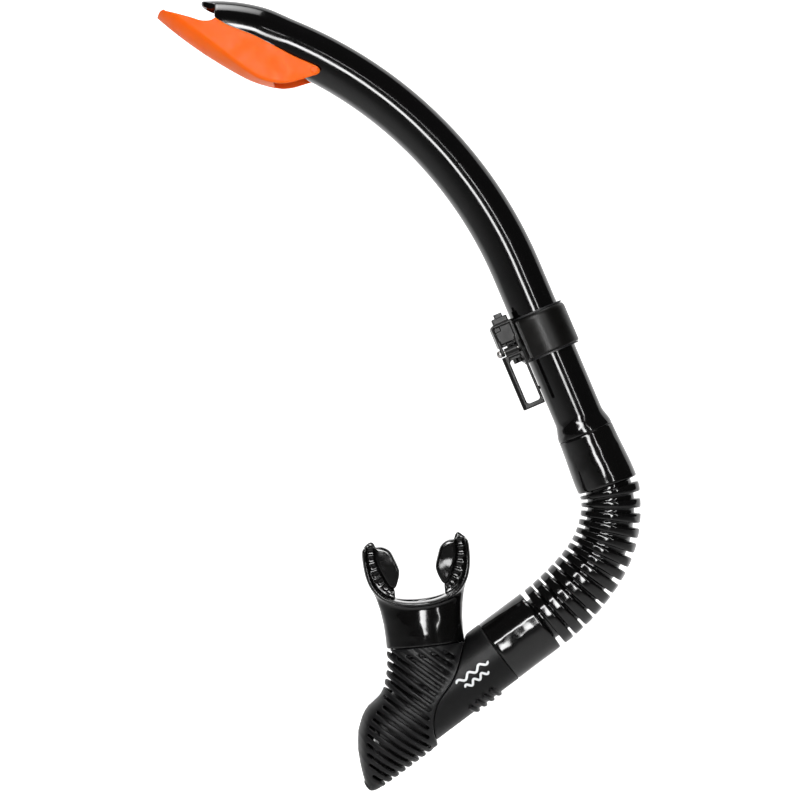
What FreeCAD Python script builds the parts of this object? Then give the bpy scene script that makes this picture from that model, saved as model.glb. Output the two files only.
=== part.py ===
"""Snorkel tube: one STEP file per physical piece.

Frame: +Z up as worn, +X towards the barrel's outer side, +Y towards the back.
The origin is the centre of the strap buckle's slot. Lengths are millimetres, angles degrees.

The barrel, hose, lower body and mouthpiece share one plane of symmetry. Each piece is built with
that plane at y = 0 and is then moved to y = BARREL_PLANE_Y, which puts the slot at y = 0.
"""
import FreeCAD, Part
import math
import os
from FreeCAD import Vector

# Barrel
BARREL_PLANE_Y = 10.5
BARREL_HEADING = 67.0
AXIS_TO_SLOT = 18.9
TUBE_R = 13.0
BORE_R = 11.25
BEND_START_U = -54.6
BEND_R = 222.5
BEND_TURN = 46.5
HEAD_R = 13.9
HEAD_BEND_R = 80.0
HEAD_TAPER_TURN = 1.2
HEAD_TURN = 30.0
NOSE_X = -170.5
NOSE_TOP_Z = 198.1
FLARE_START_U = 28.0
FLARE_END_U = 38.0
FLARE_R = 14.9

# Splash guard
GUARD_HALF_WIDTH = 13.9
GUARD_WALL = 1.5
GUARD_KEEL_R = 233.0
GUARD_KEEL_CENTRE = (-39.5, 365.6)
GUARD_SAG = 6.4
GUARD_FRONT_X = -193.0
GUARD_BOW_DEPTH = 9.0
GUARD_LIP_GAP = 0.3
GUARD_PIN_R = 1.4
GUARD_PIN_AT = (-109.6, 161.6)

# Hose: its bend is three arcs (radius, turn) that follow the barrel's axis
HOSE_START_U = 67.5
HOSE_ARCS = ((21.3, 18.0), (56.3, 40.3), (121.5, 17.83))
HOSE_BORE_R = 9.75
HOSE_CORE_R = 12.2
CUFF_END_R = 16.0
RING_COUNT = 13
FIRST_RING_S = 4.0
RING_PITCH = 6.27
RING_THICKNESS = 4.0
RING_R_TOP = 15.5
RING_R_BOTTOM = 17.4
CUFF_INNER_R = 13.45

# Swivel and lower body
LOWER_CUFF_LENGTH = 27.8
LOWER_R = 17.6
SPIGOT_R = 14.6
SWIVEL_R = 14.9
SOCKET_R = 15.0
SOCKET_DEPTH = 15.0
SPIGOT_BORE_R = 11.5
O_RING_E = 4.0
SNAP_RING_E = 8.3
RING_GROOVE_HALF = 1.1
CHAMBER_R = 15.9
CHAMBER_BORE_R = 14.0
CHAMBER_END_X = -76.0
END_PLATE = 2.5
PORT_AT = (-51.2, -138.7)
PORT_TILT = 6.1
COVER_WALL = 2.0
SLOT_COUNT = 19
SLOT_PITCH = 4.147
SLOT_WIDTH = 1.5
SLOT_ANGLE = 34.0

# Purge valve
VALVE_Z = -190.0
SEAT_R = 14.4
SEAT_THICKNESS = 2.0
LIP_R = 12.6
VALVE_R = 13.2
STEM_R = 1.4
STEM_HOLE_R = 1.5

# Keeper
SLEEVE_R = 14.3
SLEEVE_TOP_U = -31.3
SLEEVE_BOTTOM_U = -7.5
SLEEVE_LIP = 0.8
COLLAR_R = 16.0
CLIP_TOP_U = -32.5
CLIP_BOTTOM_U = -20.0
CLIP_OUTER_V = -25.0
CLIP_INNER_V = -12.6
CLIP_HALF_DEPTH = 12.4
CLIP_WALL = 1.7
GUIDE_TOP_U = -35.5
LATCH_TOP_U = -37.6
LATCH_V = (-21.0, -16.6)
LATCH_FOOT_V = -22.4
LATCH_FOOT_U = -26.5
LATCH_ROOM_Y = (-8.4, -4.9)
SPRING_FLOOR_U = -20.7
RAIL_HALF_STEM = 2.0
RAIL_HALF_HEAD = 4.0
RAIL_GAP = 0.15
PIN_U = -17.3
PIN_Y = -10.5
PIN_R = 1.0
RUNNING_GAP = 0.06
SLOT_LENGTH = 24.2
SLOT_GAP = 7.5
BUCKLE_THICKNESS = 3.4
BUCKLE_OUTER_V = -25.0
BUCKLE_INNER_V = -14.0

# Mouthpiece, in the port's own axes: a up along the port, b across it
MOUTH_CENTRE_B = -0.6
SHIELD_WALL = 2.2
SHIELD_HALF_HEIGHT = 16.5
BITE_HALF_THICKNESS = 1.8
LUG_HALF_HEIGHT = 6.5

Y_AXIS = Vector(0, 1, 0)


def heading_axes(heading):
    """Unit vector along a heading below +X, and the one to its outer side."""
    turn = math.radians(heading)
    along = Vector(math.cos(turn), 0, -math.sin(turn))
    outward = Vector(math.sin(turn), 0, math.cos(turn))
    return along, outward


DOWN, OUT = heading_axes(BARREL_HEADING)


def barrel_at(u, v=0.0, y=0.0):
    """Point u down the barrel's straight axis, v to its outer side, y behind it."""
    return OUT * (AXIS_TO_SLOT + v) + DOWN * u + Y_AXIS * y


def hose_at(s):
    """Centre and heading of the hose's bend after a length s."""
    point = barrel_at(HOSE_START_U)
    heading = BARREL_HEADING
    for radius, turn in HOSE_ARCS:
        step = min(turn, math.degrees(max(s, 0.0) / radius))
        outward = heading_axes(heading)[1]
        point = point - outward * radius
        heading += step
        point = point + heading_axes(heading)[1] * radius
        s -= math.radians(turn) * radius
    return point, heading


HOSE_LENGTH = sum(radius * math.radians(turn) for radius, turn in HOSE_ARCS)
HOSE_END, LOWER_HEADING = hose_at(HOSE_LENGTH)
ALONG, UNDER = heading_axes(LOWER_HEADING)
LOWER_ORIGIN = HOSE_END + ALONG * LOWER_CUFF_LENGTH


def lower_at(e, m=0.0, y=0.0):
    """Point e along the lower axis from the hose's end seam, m towards its underside."""
    return LOWER_ORIGIN + ALONG * e + UNDER * m + Y_AXIS * y


PORT_ORIGIN = Vector(PORT_AT[0], 0, PORT_AT[1])
PORT_UP = Vector(-math.sin(math.radians(PORT_TILT)), 0, math.cos(math.radians(PORT_TILT)))
PORT_ACROSS = Vector(math.cos(math.radians(PORT_TILT)), 0, math.sin(math.radians(PORT_TILT)))


def port_at(a, b=0.0, y=0.0):
    """Point a up the mouthpiece port's axis from its seam, b across it."""
    return PORT_ORIGIN + PORT_UP * a + PORT_ACROSS * (b + MOUTH_CENTRE_B) + Y_AXIS * y


# ---- basic solids ----

def rod(start, end, radius):
    """Cylinder from one point to another."""
    axis = end - start
    return Part.makeCylinder(radius, axis.Length, start, axis)


def pipe(start, end, outer, inner):
    """Round tube from one point to another."""
    axis = end - start
    overrun = axis.normalize() * 0.5
    return rod(start, end, outer).cut(rod(start - overrun, end + overrun, inner))


def cone(start, end, radius_start, radius_end):
    """Straight taper from one point to another."""
    axis = end - start
    return Part.makeCone(radius_start, radius_end, axis.Length, start, axis)


def ring(centre, axis, major, minor):
    """Round-section ring."""
    return Part.makeTorus(major, minor, centre, axis)


def plate(points, y_low, y_high):
    """Prism along Y over a closed outline of points in the plane of symmetry."""
    outline = Part.makePolygon(list(points) + [points[0]])
    return prism(outline, y_low, y_high)


def prism(outline, y_low, y_high):
    """Prism along Y over a closed wire in the plane of symmetry."""
    face = Part.Face(Part.Wire(outline.Edges))
    face.translate(Y_AXIS * y_low)
    return face.extrude(Y_AXIS * (y_high - y_low))


def barrel_box(u_low, u_high, v_low, v_high, y_low, y_high):
    """Block squared to the barrel's axes."""
    corners = [
        barrel_at(u_low, v_low),
        barrel_at(u_high, v_low),
        barrel_at(u_high, v_high),
        barrel_at(u_low, v_high),
    ]
    return plate(corners, y_low, y_high)


def oval(centre, across, half_across, half_depth):
    """Ellipse whose axes are a direction in the plane of symmetry and Y."""
    if half_across >= half_depth:
        curve = Part.Ellipse(centre + across * half_across, centre + Y_AXIS * half_depth, centre)
    else:
        curve = Part.Ellipse(centre + Y_AXIS * half_depth, centre + across * half_across, centre)
    return Part.Wire(curve.toShape())


def loft(sections):
    """Smooth solid through closed sections."""
    return Part.makeLoft(sections, True, False)


def fuse_all(shapes):
    """One solid from overlapping ones."""
    joined = shapes[0].multiFuse(shapes[1:])
    return joined.removeSplitter()


def bent_rod(start, heading, radius, bend_radius, turn):
    """Rod bent clockwise about a centre on its inner side, and the point and heading at its end."""
    along, outward = heading_axes(heading)
    disc = Part.Face(Part.Wire(Part.makeCircle(radius, start, along)))
    centre = start - outward * bend_radius
    solid = disc.revolve(centre, Y_AXIS, turn)
    end = centre + heading_axes(heading + turn)[1] * bend_radius
    return solid, end, heading + turn


# ---- barrel and splash guard ----

def barrel_bend(radius, head_radius):
    """The bent part of the barrel as a solid rod, from the straight's top to past the nose."""
    start = barrel_at(BEND_START_U)
    bend, point, heading = bent_rod(start, BARREL_HEADING, radius, BEND_R, -BEND_TURN)
    taper_end = hop(point, heading, HEAD_TAPER_TURN)
    first = Part.Wire(Part.makeCircle(radius, point, heading_axes(heading)[0]))
    heading = heading - HEAD_TAPER_TURN
    last = Part.Wire(Part.makeCircle(head_radius, taper_end, heading_axes(heading)[0]))
    taper = Part.makeLoft([first, last], True, True)
    head = bent_rod(taper_end, heading, head_radius, HEAD_BEND_R, -HEAD_TURN)[0]
    return [bend, taper, head]


def hop(point, heading, turn):
    """Point reached after a small turn back along the barrel's bend."""
    centre = point - heading_axes(heading)[1] * BEND_R
    return centre + heading_axes(heading - turn)[1] * BEND_R


def guard_edge():
    """Upper edge of the guard's side wall, from its front tip back to its round rear end."""
    return [
        Vector(-187.2, 0, 192.5),
        Vector(-173.9, 0, 188.9),
        Vector(-168.0, 0, 187.2),
        Vector(-164.2, 0, 187.3),
        Vector(-161.5, 0, 188.9),
        Vector(-154.2, 0, 184.7),
        Vector(-133.9, 0, 175.9),
        Vector(-121.0, 0, 169.0),
        Vector(-109.0, 0, 163.9),
    ]


def guard_rear():
    """The rest of the side wall's outline, round the rear end and along the drain gap."""
    return [
        Vector(-106.8, 0, 161.6),
        Vector(-108.0, 0, 159.0),
        Vector(-121.0, 0, 155.0),
        Vector(-131.5, 0, 152.0),
    ]


def barrel_tube():
    """Rigid tube: straight, bent, with a slanted open nose and a belled lower end."""
    straight = rod(barrel_at(FLARE_START_U), barrel_at(BEND_START_U), TUBE_R)
    flare = cone(barrel_at(FLARE_START_U), barrel_at(FLARE_END_U), TUBE_R, FLARE_R)
    outside = fuse_all([straight, flare] + barrel_bend(TUBE_R, HEAD_R))
    overrun = barrel_at(FLARE_END_U + 1)
    inside = fuse_all([rod(overrun, barrel_at(BEND_START_U), BORE_R)] + barrel_bend(BORE_R, BORE_R))
    tube = outside.cut(inside)
    return tube.cut(nose_cut()).cut(guard_seat())


def nose_cut():
    """Everything past the nose: a slanted scarf from the top lip down to the tube's underside."""
    lip = Vector(NOSE_X, 0, 194.0)
    rear = Vector(-117.0, 0, 158.0)
    corners = [
        lip,
        Vector(NOSE_X + 4.5, 0, NOSE_TOP_Z),
        Vector(NOSE_X, 0, NOSE_TOP_Z + 12),
        Vector(NOSE_X - 50, 0, NOSE_TOP_Z),
        Vector(NOSE_X - 50, 0, 120),
        Vector(rear.x, 0, 120),
        rear,
    ]
    return plate(corners, -30, 30)


def guard_seat():
    """Flat seats on both flanks of the tube, where the guard's walls lie."""
    edge = guard_edge()
    outline = [point + Vector(0, 0, GUARD_LIP_GAP) for point in edge[2:]]
    outline += [Vector(-106.3, 0, 161.6), Vector(-107.5, 0, 120), Vector(-175, 0, 120)]
    inner = GUARD_HALF_WIDTH - GUARD_WALL - 0.1
    near = plate(outline, -30, -inner)
    far = plate(outline, inner, 30)
    return near.fuse(far)


def guard_section(inset, top_r):
    """U-shaped section of the guard in the plane through its keel's centre, straight down."""
    half = GUARD_HALF_WIDTH - inset
    keel = GUARD_KEEL_R - inset
    chine = GUARD_KEEL_R - GUARD_SAG
    x, z = GUARD_KEEL_CENTRE
    bottom = Part.Arc(
        Vector(x, -half, z - chine), Vector(x, 0, z - keel), Vector(x, half, z - chine)
    ).toShape()
    left = Part.makeLine(Vector(x, half, z - chine), Vector(x, half, z - top_r))
    top = Part.makeLine(Vector(x, half, z - top_r), Vector(x, -half, z - top_r))
    right = Part.makeLine(Vector(x, -half, z - top_r), Vector(x, -half, z - chine))
    return Part.Face(Part.Wire([bottom, left, top, right]))


def guard_hull(inset, top_r):
    """The guard's trough swept round the keel's centre."""
    x, z = GUARD_KEEL_CENTRE
    centre = Vector(x, 0, z)
    face = guard_section(inset, top_r)
    face.rotate(centre, Y_AXIS, 12.0)
    return face.revolve(centre, Y_AXIS, 36.0)


def splash_guard():
    """Boat-shaped hood under the nose, open at the top and at the rear drain gap."""
    hull = guard_hull(0, 180.0).cut(guard_hull(GUARD_WALL, 170.0))
    front = [Vector(-194.5, 0, 180.0), Vector(-194.5, 0, 190.5), Vector(-189.5, 0, 193.6)]
    outline = front + guard_edge() + guard_rear() + [Vector(-131.5, 0, 140), Vector(-194.5, 0, 140)]
    shell = hull.common(plate(outline, -20, 20))
    shell = shell.common(bow_plan())
    for side in (-1, 1):
        shell = shell.cut(guard_pin(side, GUARD_PIN_R, GUARD_WALL + 1.5))
    return shell


def bow_plan():
    """Plan outline that rounds the guard's front corners."""
    centre = Vector(GUARD_FRONT_X + GUARD_BOW_DEPTH, 0, 0)
    side = centre + Vector(0, GUARD_HALF_WIDTH + 0.2, 0)
    curve = Part.Ellipse(side, Vector(GUARD_FRONT_X, 0, 0), centre)
    round_front = Part.Face(Part.Wire(curve.toShape())).extrude(Vector(0, 0, 260))
    body = Part.makeBox(100, 40, 260, Vector(centre.x, -20, 0))
    return body.fuse(round_front)


def guard_pin(side, radius, length):
    """Round pin through one side wall of the guard; side is -1 or 1."""
    outer = Vector(GUARD_PIN_AT[0], side * (GUARD_HALF_WIDTH + 0.5), GUARD_PIN_AT[1])
    return Part.makeCylinder(radius, length, outer, Vector(0, -side, 0))


def guard_pins():
    """Two pins with low heads that fix the guard's walls to the tube."""
    pins = []
    for side in (-1, 1):
        pins.append(guard_pin(side, GUARD_PIN_R - 0.02, 3.2))
    return Part.makeCompound(pins)


def barrel_with_pin_holes():
    """The tube with the two holes that take the guard's pins."""
    tube = barrel_tube()
    for side in (-1, 1):
        tube = tube.cut(guard_pin(side, GUARD_PIN_R, 3.6))
    return tube


def hose_coupling():
    """Barbed nipple bonded in the barrel's belled end and pushed into the hose."""
    top = FLARE_START_U - 8
    end = HOSE_START_U - 5
    body = rod(barrel_at(top), barrel_at(FLARE_END_U), BORE_R - 0.05)
    neck = rod(barrel_at(FLARE_END_U - 0.5), barrel_at(end), CUFF_INNER_R - 0.55)
    barbs = []
    for u in (FLARE_END_U + 8, FLARE_END_U + 14, FLARE_END_U + 20):
        barbs.append(cone(barrel_at(u), barrel_at(u + 3), CUFF_INNER_R - 0.1, CUFF_INNER_R - 0.55))
    neck = neck.cut(rod(barrel_at(FLARE_END_U - 1), barrel_at(FLARE_END_U), 30))
    shape = fuse_all([body, neck] + barbs)
    return shape.cut(rod(barrel_at(top - 1), barrel_at(end + 1), HOSE_BORE_R))


# ---- hose ----

def hose_core(radius):
    """Solid rod of one radius along the hose's bend."""
    point = barrel_at(HOSE_START_U)
    heading = BARREL_HEADING
    pieces = []
    for bend_radius, turn in HOSE_ARCS:
        piece, point, heading = bent_rod(point, heading, radius, bend_radius, turn)
        pieces.append(piece)
    return pieces


def hose_ring(index):
    """One of the fins outside the hose, square to its bend."""
    centre, heading = hose_at(FIRST_RING_S + index * RING_PITCH)
    along = heading_axes(heading)[0]
    share = index / (RING_COUNT - 1)
    radius = RING_R_TOP + (RING_R_BOTTOM - RING_R_TOP) * share
    start = centre - along * (RING_THICKNESS / 2)
    return rod(start, start + along * RING_THICKNESS, radius)


def flex_hose():
    """Soft hose: two smooth cuffs, a bent core and separate fins round it, with a smooth bore."""
    cuff_end = barrel_at(HOSE_START_U)
    upper = cone(barrel_at(FLARE_END_U + 0.05), cuff_end, FLARE_R, CUFF_END_R)
    lower = rod(HOSE_END, lower_at(-0.05), LOWER_R)
    core = hose_core(HOSE_CORE_R)
    rings = [hose_ring(index) for index in range(RING_COUNT)]
    outside = fuse_all([upper, lower] + core + rings)
    upper_socket = rod(barrel_at(FLARE_END_U - 1), barrel_at(HOSE_START_U - 4.5), CUFF_INNER_R)
    lower_socket = rod(lower_at(-LOWER_CUFF_LENGTH + 3.5), lower_at(1), SPIGOT_R + 0.05)
    bore = fuse_all([rod(barrel_at(HOSE_START_U - 6), cuff_end, HOSE_BORE_R)] + hose_core(HOSE_BORE_R))
    lower_bore = rod(HOSE_END, lower_at(-LOWER_CUFF_LENGTH + 5), HOSE_BORE_R)
    return outside.cut(upper_socket).cut(lower_socket).cut(bore).cut(lower_bore)


# ---- swivel ----

def swivel_spigot():
    """Rigid ring in the hose's lower cuff, whose lower half turns in the body's socket."""
    top = lower_at(-LOWER_CUFF_LENGTH + 4)
    seam = lower_at(0)
    tip = lower_at(SOCKET_DEPTH - 0.5)
    shape = fuse_all([rod(top, seam, SPIGOT_R), rod(seam, tip, SWIVEL_R)])
    for e, floor_r in ((O_RING_E, SWIVEL_R - 1.9), (SNAP_RING_E, SWIVEL_R - 1.1)):
        groove = pipe(lower_at(e - RING_GROOVE_HALF), lower_at(e + RING_GROOVE_HALF), SWIVEL_R + 1, floor_r)
        shape = shape.cut(groove)
    return shape.cut(rod(lower_at(-LOWER_CUFF_LENGTH), lower_at(SOCKET_DEPTH + 1), SPIGOT_BORE_R))


def swivel_o_ring():
    """Seal in the spigot's groove."""
    return ring(lower_at(O_RING_E), ALONG, SWIVEL_R - 0.98, 0.9)


def swivel_snap_ring():
    """Open ring in the body's groove that keeps the spigot in its socket."""
    shape = pipe(lower_at(SNAP_RING_E - 0.8), lower_at(SNAP_RING_E + 0.8), SOCKET_R + 1.0, SWIVEL_R - 1.0)
    gap = plate([lower_at(0, 8), lower_at(14, 8), lower_at(14, 20), lower_at(0, 20)], -2, 2)
    return shape.cut(gap)


# ---- lower body, cover and purge valve ----

def parting_curve():
    """Points of the S-shaped line between the smooth body and the ribbed cover."""
    stations = ((-34, -46), (-4, -27), (10.4, -16), (26.2, -4.4), (41.7, 1.5), (50.5, 10), (54.6, 19.5))
    return [lower_at(e, m) for e, m in stations]


def smooth_side(shift):
    """Prism over everything on the hose's side of the parting line, moved along by shift."""
    curve = Part.BSplineCurve()
    points = [point + ALONG * shift for point in parting_curve()]
    points.append(lower_at(57.5 + shift, 34))
    curve.interpolate(points)
    start = points[0]
    end = points[-1]
    corner = lower_at(-60, 60)
    edges = [
        curve.toShape(),
        Part.makeLine(end, corner),
        Part.makeLine(corner, lower_at(-60, -60)),
        Part.makeLine(lower_at(-60, -60), start),
    ]
    return prism(Part.Wire(edges), -40, 40)


def port_neck(inset, a_top, a_foot):
    """Oval neck from the mouthpiece port down into the chamber, inset from the cover's outside."""
    stations = ((0, 0, 20.5, 13.8), (-8, 0.2, 20.6, 14.6), (-16, -0.6, 22.0, 16.5), (-26, -2.0, 23.0, 18.5))
    sections = []
    for a, shift, half_across, half_depth in stations:
        sections.append(oval(port_at(a, shift), PORT_ACROSS, half_across - inset, half_depth - inset))
    neck = loft(sections)
    foot = plate([port_at(a_foot, -60), port_at(-90, -60), port_at(-90, 60), port_at(a_foot, 60)], -40, 40)
    head = plate([port_at(a_top, -60), port_at(60, -60), port_at(60, 60), port_at(a_top, 60)], -40, 40)
    return neck.cut(foot).cut(head)


def cover_main(inset):
    """The cover's main shell along the lower axis, closed by its slanted round end."""
    stations = (
        (9.0, 0.0, 17.9, 17.9), (30, 0.2, 18.4, 18.4), (46, 0.2, 19.6, 19.4), (60, 0.3, 20.0, 19.6),
        (68, 0.8, 19.4, 19.5), (76, 1.9, 18.3, 18.8), (83, 4.3, 15.9, 17.2), (89, 7.5, 12.6, 14.6),
        (93, 10.8, 9.4, 11.4), (96, 14.0, 6.0, 7.6),
    )
    sections = []
    for e, m, half_height, half_depth in stations:
        sections.append(oval(lower_at(e, m), UNDER, half_height - inset, half_depth - inset))
    shell = loft(sections)
    if inset:
        return shell
    tip = Part.makeSphere(1.0, Vector(0, 0, 0))
    stretch = FreeCAD.Matrix()
    stretch.scale(5.6, 7.2, 2.6)
    tip = tip.transformGeometry(stretch)
    tip.Placement = FreeCAD.Placement(lower_at(96, 14.0), FreeCAD.Rotation(UNDER, Y_AXIS, ALONG, "ZXY"))
    return shell.fuse(tip)


def slot_cutters():
    """Straight slots through the cover, all at one slant and pitch."""
    slant = math.radians(SLOT_ANGLE)
    along = Vector(math.cos(slant), 0, -math.sin(slant))
    across = Vector(-math.sin(slant), 0, -math.cos(slant))
    first = Vector(-39.7, 0, -143.0)
    ends = (
        (-3.2, 3.4), (-8.1, 4.4), (-13.0, 5.2), (-17.8, 5.3), (-40, 5.4), (-40, 5.7), (-40, 6.4),
        (-40, 8.0), (-40, 10.0), (-15.5, 12.6), (-13.4, 15.5), (-14.4, 60), (-14.3, 60), (-13.7, 60),
        (-12.0, 60), (-9.5, 60), (-6.4, 60), (-2.5, 60), (2.5, 60),
    )
    cutters = []
    for index in range(SLOT_COUNT):
        start, end = ends[index]
        line = first + across * (SLOT_PITCH * index)
        half = across * (SLOT_WIDTH / 2)
        near = line + along * start
        far = line + along * end
        cutters.append(plate([near - half, far - half, far + half, near + half], -30, 30))
    return Part.makeCompound(cutters)


def ribbed_cover():
    """Slotted shell that clips over the chamber and guards the purge valve."""
    outside = fuse_all([cover_main(0), port_neck(0, 0, -26)])
    inside = cover_main(COVER_WALL).fuse(port_neck(COVER_WALL, 20, -26))
    inside = inside.fuse(rod(lower_at(0), lower_at(30), CHAMBER_R + 0.3))
    above = plate([port_at(-0.15, -60), port_at(60, -60), port_at(60, 60), port_at(-0.15, 60)], -40, 40)
    shell = outside.cut(inside).cut(above).cut(smooth_side(0.1))
    shell = shell.cut(slot_cutters())
    return largest_solid(shell)


def largest_solid(shape):
    """The biggest solid of a shape, without the crumbs that a cut leaves."""
    solids = sorted(shape.Solids, key=lambda solid: solid.Volume)
    return solids[-1]


def chamber_outside():
    """Outside of the chamber under the cover, with the neck that carries the mouthpiece."""
    tube = rod(lower_at(0), lower_at(92), CHAMBER_R)
    corners = ((CHAMBER_END_X, 0), (-200, 0), (-200, -300), (CHAMBER_END_X, -300))
    past_end = plate([Vector(x, 0, z) for x, z in corners], -40, 40)
    tube = tube.cut(past_end)
    neck = port_neck(5.0, 12, -26)
    return tube.fuse(neck)


def chamber_inside():
    """Air space of the chamber: the swivel's socket, the main bore and the neck's bore."""
    socket = rod(lower_at(-1), lower_at(SOCKET_DEPTH), SOCKET_R)
    bore = rod(lower_at(0), lower_at(92), CHAMBER_BORE_R)
    limit = CHAMBER_END_X + END_PLATE
    past_plate = plate(
        [Vector(limit, 0, 0), Vector(-200, 0, 0), Vector(-200, 0, -300), Vector(limit, 0, -300)], -40, 40
    )
    bore = bore.cut(past_plate)
    groove = pipe(lower_at(SNAP_RING_E - 1), lower_at(SNAP_RING_E + 1), SOCKET_R + 1.2, SOCKET_R - 1)
    neck = port_neck(7.0, 20, -26)
    return socket.fuse(bore).fuse(groove).fuse(neck)


def lower_body():
    """Rigid elbow: smooth sleeve by the hose, chamber, port neck and end plate for the valve."""
    sleeve = rod(lower_at(0), lower_at(60), LOWER_R).common(smooth_side(0))
    ridges = [grip_ridge(index) for index in range(4)]
    outside = fuse_all([sleeve, chamber_outside()] + ridges)
    valve_hole = rod(Vector(-80, 0, VALVE_Z), Vector(-70, 0, VALVE_Z), LIP_R + 0.1)
    return largest_solid(outside.cut(chamber_inside()).cut(valve_hole))


def grip_ridge(index):
    """One of the low finger ridges under the smooth sleeve."""
    e = 14.0 + 4.7 * index
    start = lower_at(e, 0)
    band = rod(start - ALONG * 1.1, start + ALONG * 1.1, LOWER_R + 1.2)
    band = band.cut(rod(start - ALONG * 2, start + ALONG * 2, CHAMBER_R + 0.5))
    window = plate([lower_at(0, 11), lower_at(60, 11), lower_at(60, 30), lower_at(0, 30)], -30, 30)
    return band.common(window)


def valve_point(x, radius=0.0, angle=0.0):
    """Point on the purge valve's axis, which runs along X, or at a radius round it."""
    turn = math.radians(angle)
    return Vector(x, radius * math.cos(turn), VALVE_Z + radius * math.sin(turn))


def valve_seat():
    """Spoked disc on the chamber's end plate, with a lip into the hole."""
    face_x = CHAMBER_END_X - SEAT_THICKNESS
    shape = pipe(valve_point(face_x), valve_point(CHAMBER_END_X), SEAT_R, LIP_R - 1.6)
    lip = pipe(valve_point(CHAMBER_END_X - 0.5), valve_point(CHAMBER_END_X + 2), LIP_R, LIP_R - 1.6)
    hub = rod(valve_point(face_x), valve_point(CHAMBER_END_X), 3.2)
    spokes = []
    for angle in (90, 210, 330):
        turn = math.radians(angle)
        side = Vector(0, -math.sin(turn), math.cos(turn)) * 0.9
        inner = valve_point(face_x, 2.6, angle)
        outer = valve_point(face_x, LIP_R - 1.0, angle)
        outline = Part.makePolygon([inner - side, outer - side, outer + side, inner + side, inner - side])
        spokes.append(Part.Face(outline).extrude(Vector(SEAT_THICKNESS, 0, 0)))
    shape = fuse_all([shape, lip, hub] + spokes)
    shape = shape.cut(rod(valve_point(face_x - 1), valve_point(CHAMBER_END_X + 4), STEM_HOLE_R))
    groove = ring(valve_point(CHAMBER_END_X), Vector(1, 0, 0), LIP_R + 0.9, 0.62)
    return shape.cut(groove)


def seat_gasket():
    """Round seal between the seat and the end plate."""
    whole = ring(valve_point(CHAMBER_END_X), Vector(1, 0, 0), LIP_R + 0.9, 0.6)
    corners = ((-90, -150), (CHAMBER_END_X, -150), (CHAMBER_END_X, -230), (-90, -230))
    outside = plate([Vector(x, 0, z) for x, z in corners], -30, 30)
    return whole.common(outside)


def purge_valve():
    """Soft mushroom: a thin disc, a stem through the hub and a bulb behind it."""
    back = CHAMBER_END_X - SEAT_THICKNESS - 0.1
    disc = rod(valve_point(back), valve_point(back - 0.8), VALVE_R)
    crown = cone(valve_point(back - 0.7), valve_point(back - 1.5), 6.0, 3.0)
    stem = rod(valve_point(back - 0.5), valve_point(CHAMBER_END_X + 2.2), STEM_R)
    bulb = cone(valve_point(CHAMBER_END_X + 1.7), valve_point(CHAMBER_END_X + 5), 2.2, 0.9)
    return fuse_all([disc, crown, stem, bulb])


# ---- mouthpiece ----

def shield_outline(inset):
    """Closed U outline of the mouthpiece's lip shield, inset from its outer face."""
    half = 28.0 - inset
    foot = 21.6 + inset
    top = 53.0
    knots = [
        port_at(top, -half), port_at(42, -half + 0.2), port_at(32.5 + inset * 0.6, -half + 3.2),
        port_at(26.3 + inset * 0.8, -20.2 + inset * 0.6), port_at(foot + 1.3, -12.5),
        port_at(foot, 0),
        port_at(foot + 1.3, 12.5), port_at(26.3 + inset * 0.8, 20.2 - inset * 0.6),
        port_at(32.5 + inset * 0.6, half - 3.2), port_at(42, half - 0.2), port_at(top, half),
    ]
    arcs = []
    for index in range(0, len(knots) - 2, 2):
        arcs.append(Part.Arc(knots[index], knots[index + 1], knots[index + 2]).toShape())
    arcs.append(Part.makeLine(knots[-1], knots[0]))
    return Part.Wire(arcs)


def lip_shield():
    """Curved plate that sits between lips and gums."""
    solid = prism(shield_outline(0), -SHIELD_HALF_HEIGHT, SHIELD_HALF_HEIGHT)
    solid = solid.cut(prism(shield_outline(SHIELD_WALL), -30, 30))
    rim = Part.Face(oval(port_at(10), PORT_ACROSS, 32.0, SHIELD_HALF_HEIGHT)).extrude(PORT_UP * 60)
    return solid.common(rim)


def bite_plate(side):
    """Flat plate that the teeth close on; side is -1 or 1."""
    outline = [
        port_at(54.0, side * 27.0), port_at(56.3, side * 23.5), port_at(52.0, side * 20.4),
        port_at(40.5, side * 16.3), port_at(30.5, side * 11.0), port_at(26.8, side * 16.5),
        port_at(30.0, side * 23.0), port_at(40.0, side * 26.6),
    ]
    return plate(outline, -BITE_HALF_THICKNESS, BITE_HALF_THICKNESS)


def bite_lug(side):
    """Upright lug at the inner edge of a bite plate; side is -1 or 1."""
    outline = [
        port_at(52.5, side * 19.5), port_at(53.0, side * 15.5), port_at(50.0, side * 13.0),
        port_at(40.5, side * 10.1), port_at(35.5, side * 10.8), port_at(31.5, side * 13.4),
        port_at(40.5, side * 16.5),
    ]
    return plate(outline, -LUG_HALF_HEIGHT, LUG_HALF_HEIGHT)


def mouthpiece():
    """Soft mouthpiece: oval sleeve, lip shield, bite plates and lugs, with an air passage."""
    stations = ((0, 20.5, 13.8), (12.5, 20.7, 13.2), (20, 21.7, 12.4), (26, 23.0, 11.6), (31, 24.0, 11.0))
    sections = []
    for a, half_across, half_depth in stations:
        sections.append(oval(port_at(a), PORT_ACROSS, half_across, half_depth))
    sleeve = loft(sections).cut(prism(shield_outline(SHIELD_WALL), -30, 30))
    tail = loft([oval(port_at(a), PORT_ACROSS, 17.0, 10.3) for a in (-6, 1)])
    pieces = [sleeve, tail, lip_shield()]
    for side in (-1, 1):
        pieces.append(bite_plate(side))
        pieces.append(bite_lug(side))
    shape = fuse_all(pieces)
    socket = loft([oval(port_at(a), PORT_ACROSS, 15.65, 8.95) for a in (-7, 12.1)])
    passage = loft([oval(port_at(a), PORT_ACROSS, 13.2, 7.0) for a in (11, 27)])
    return shape.cut(socket).cut(passage)


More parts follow.
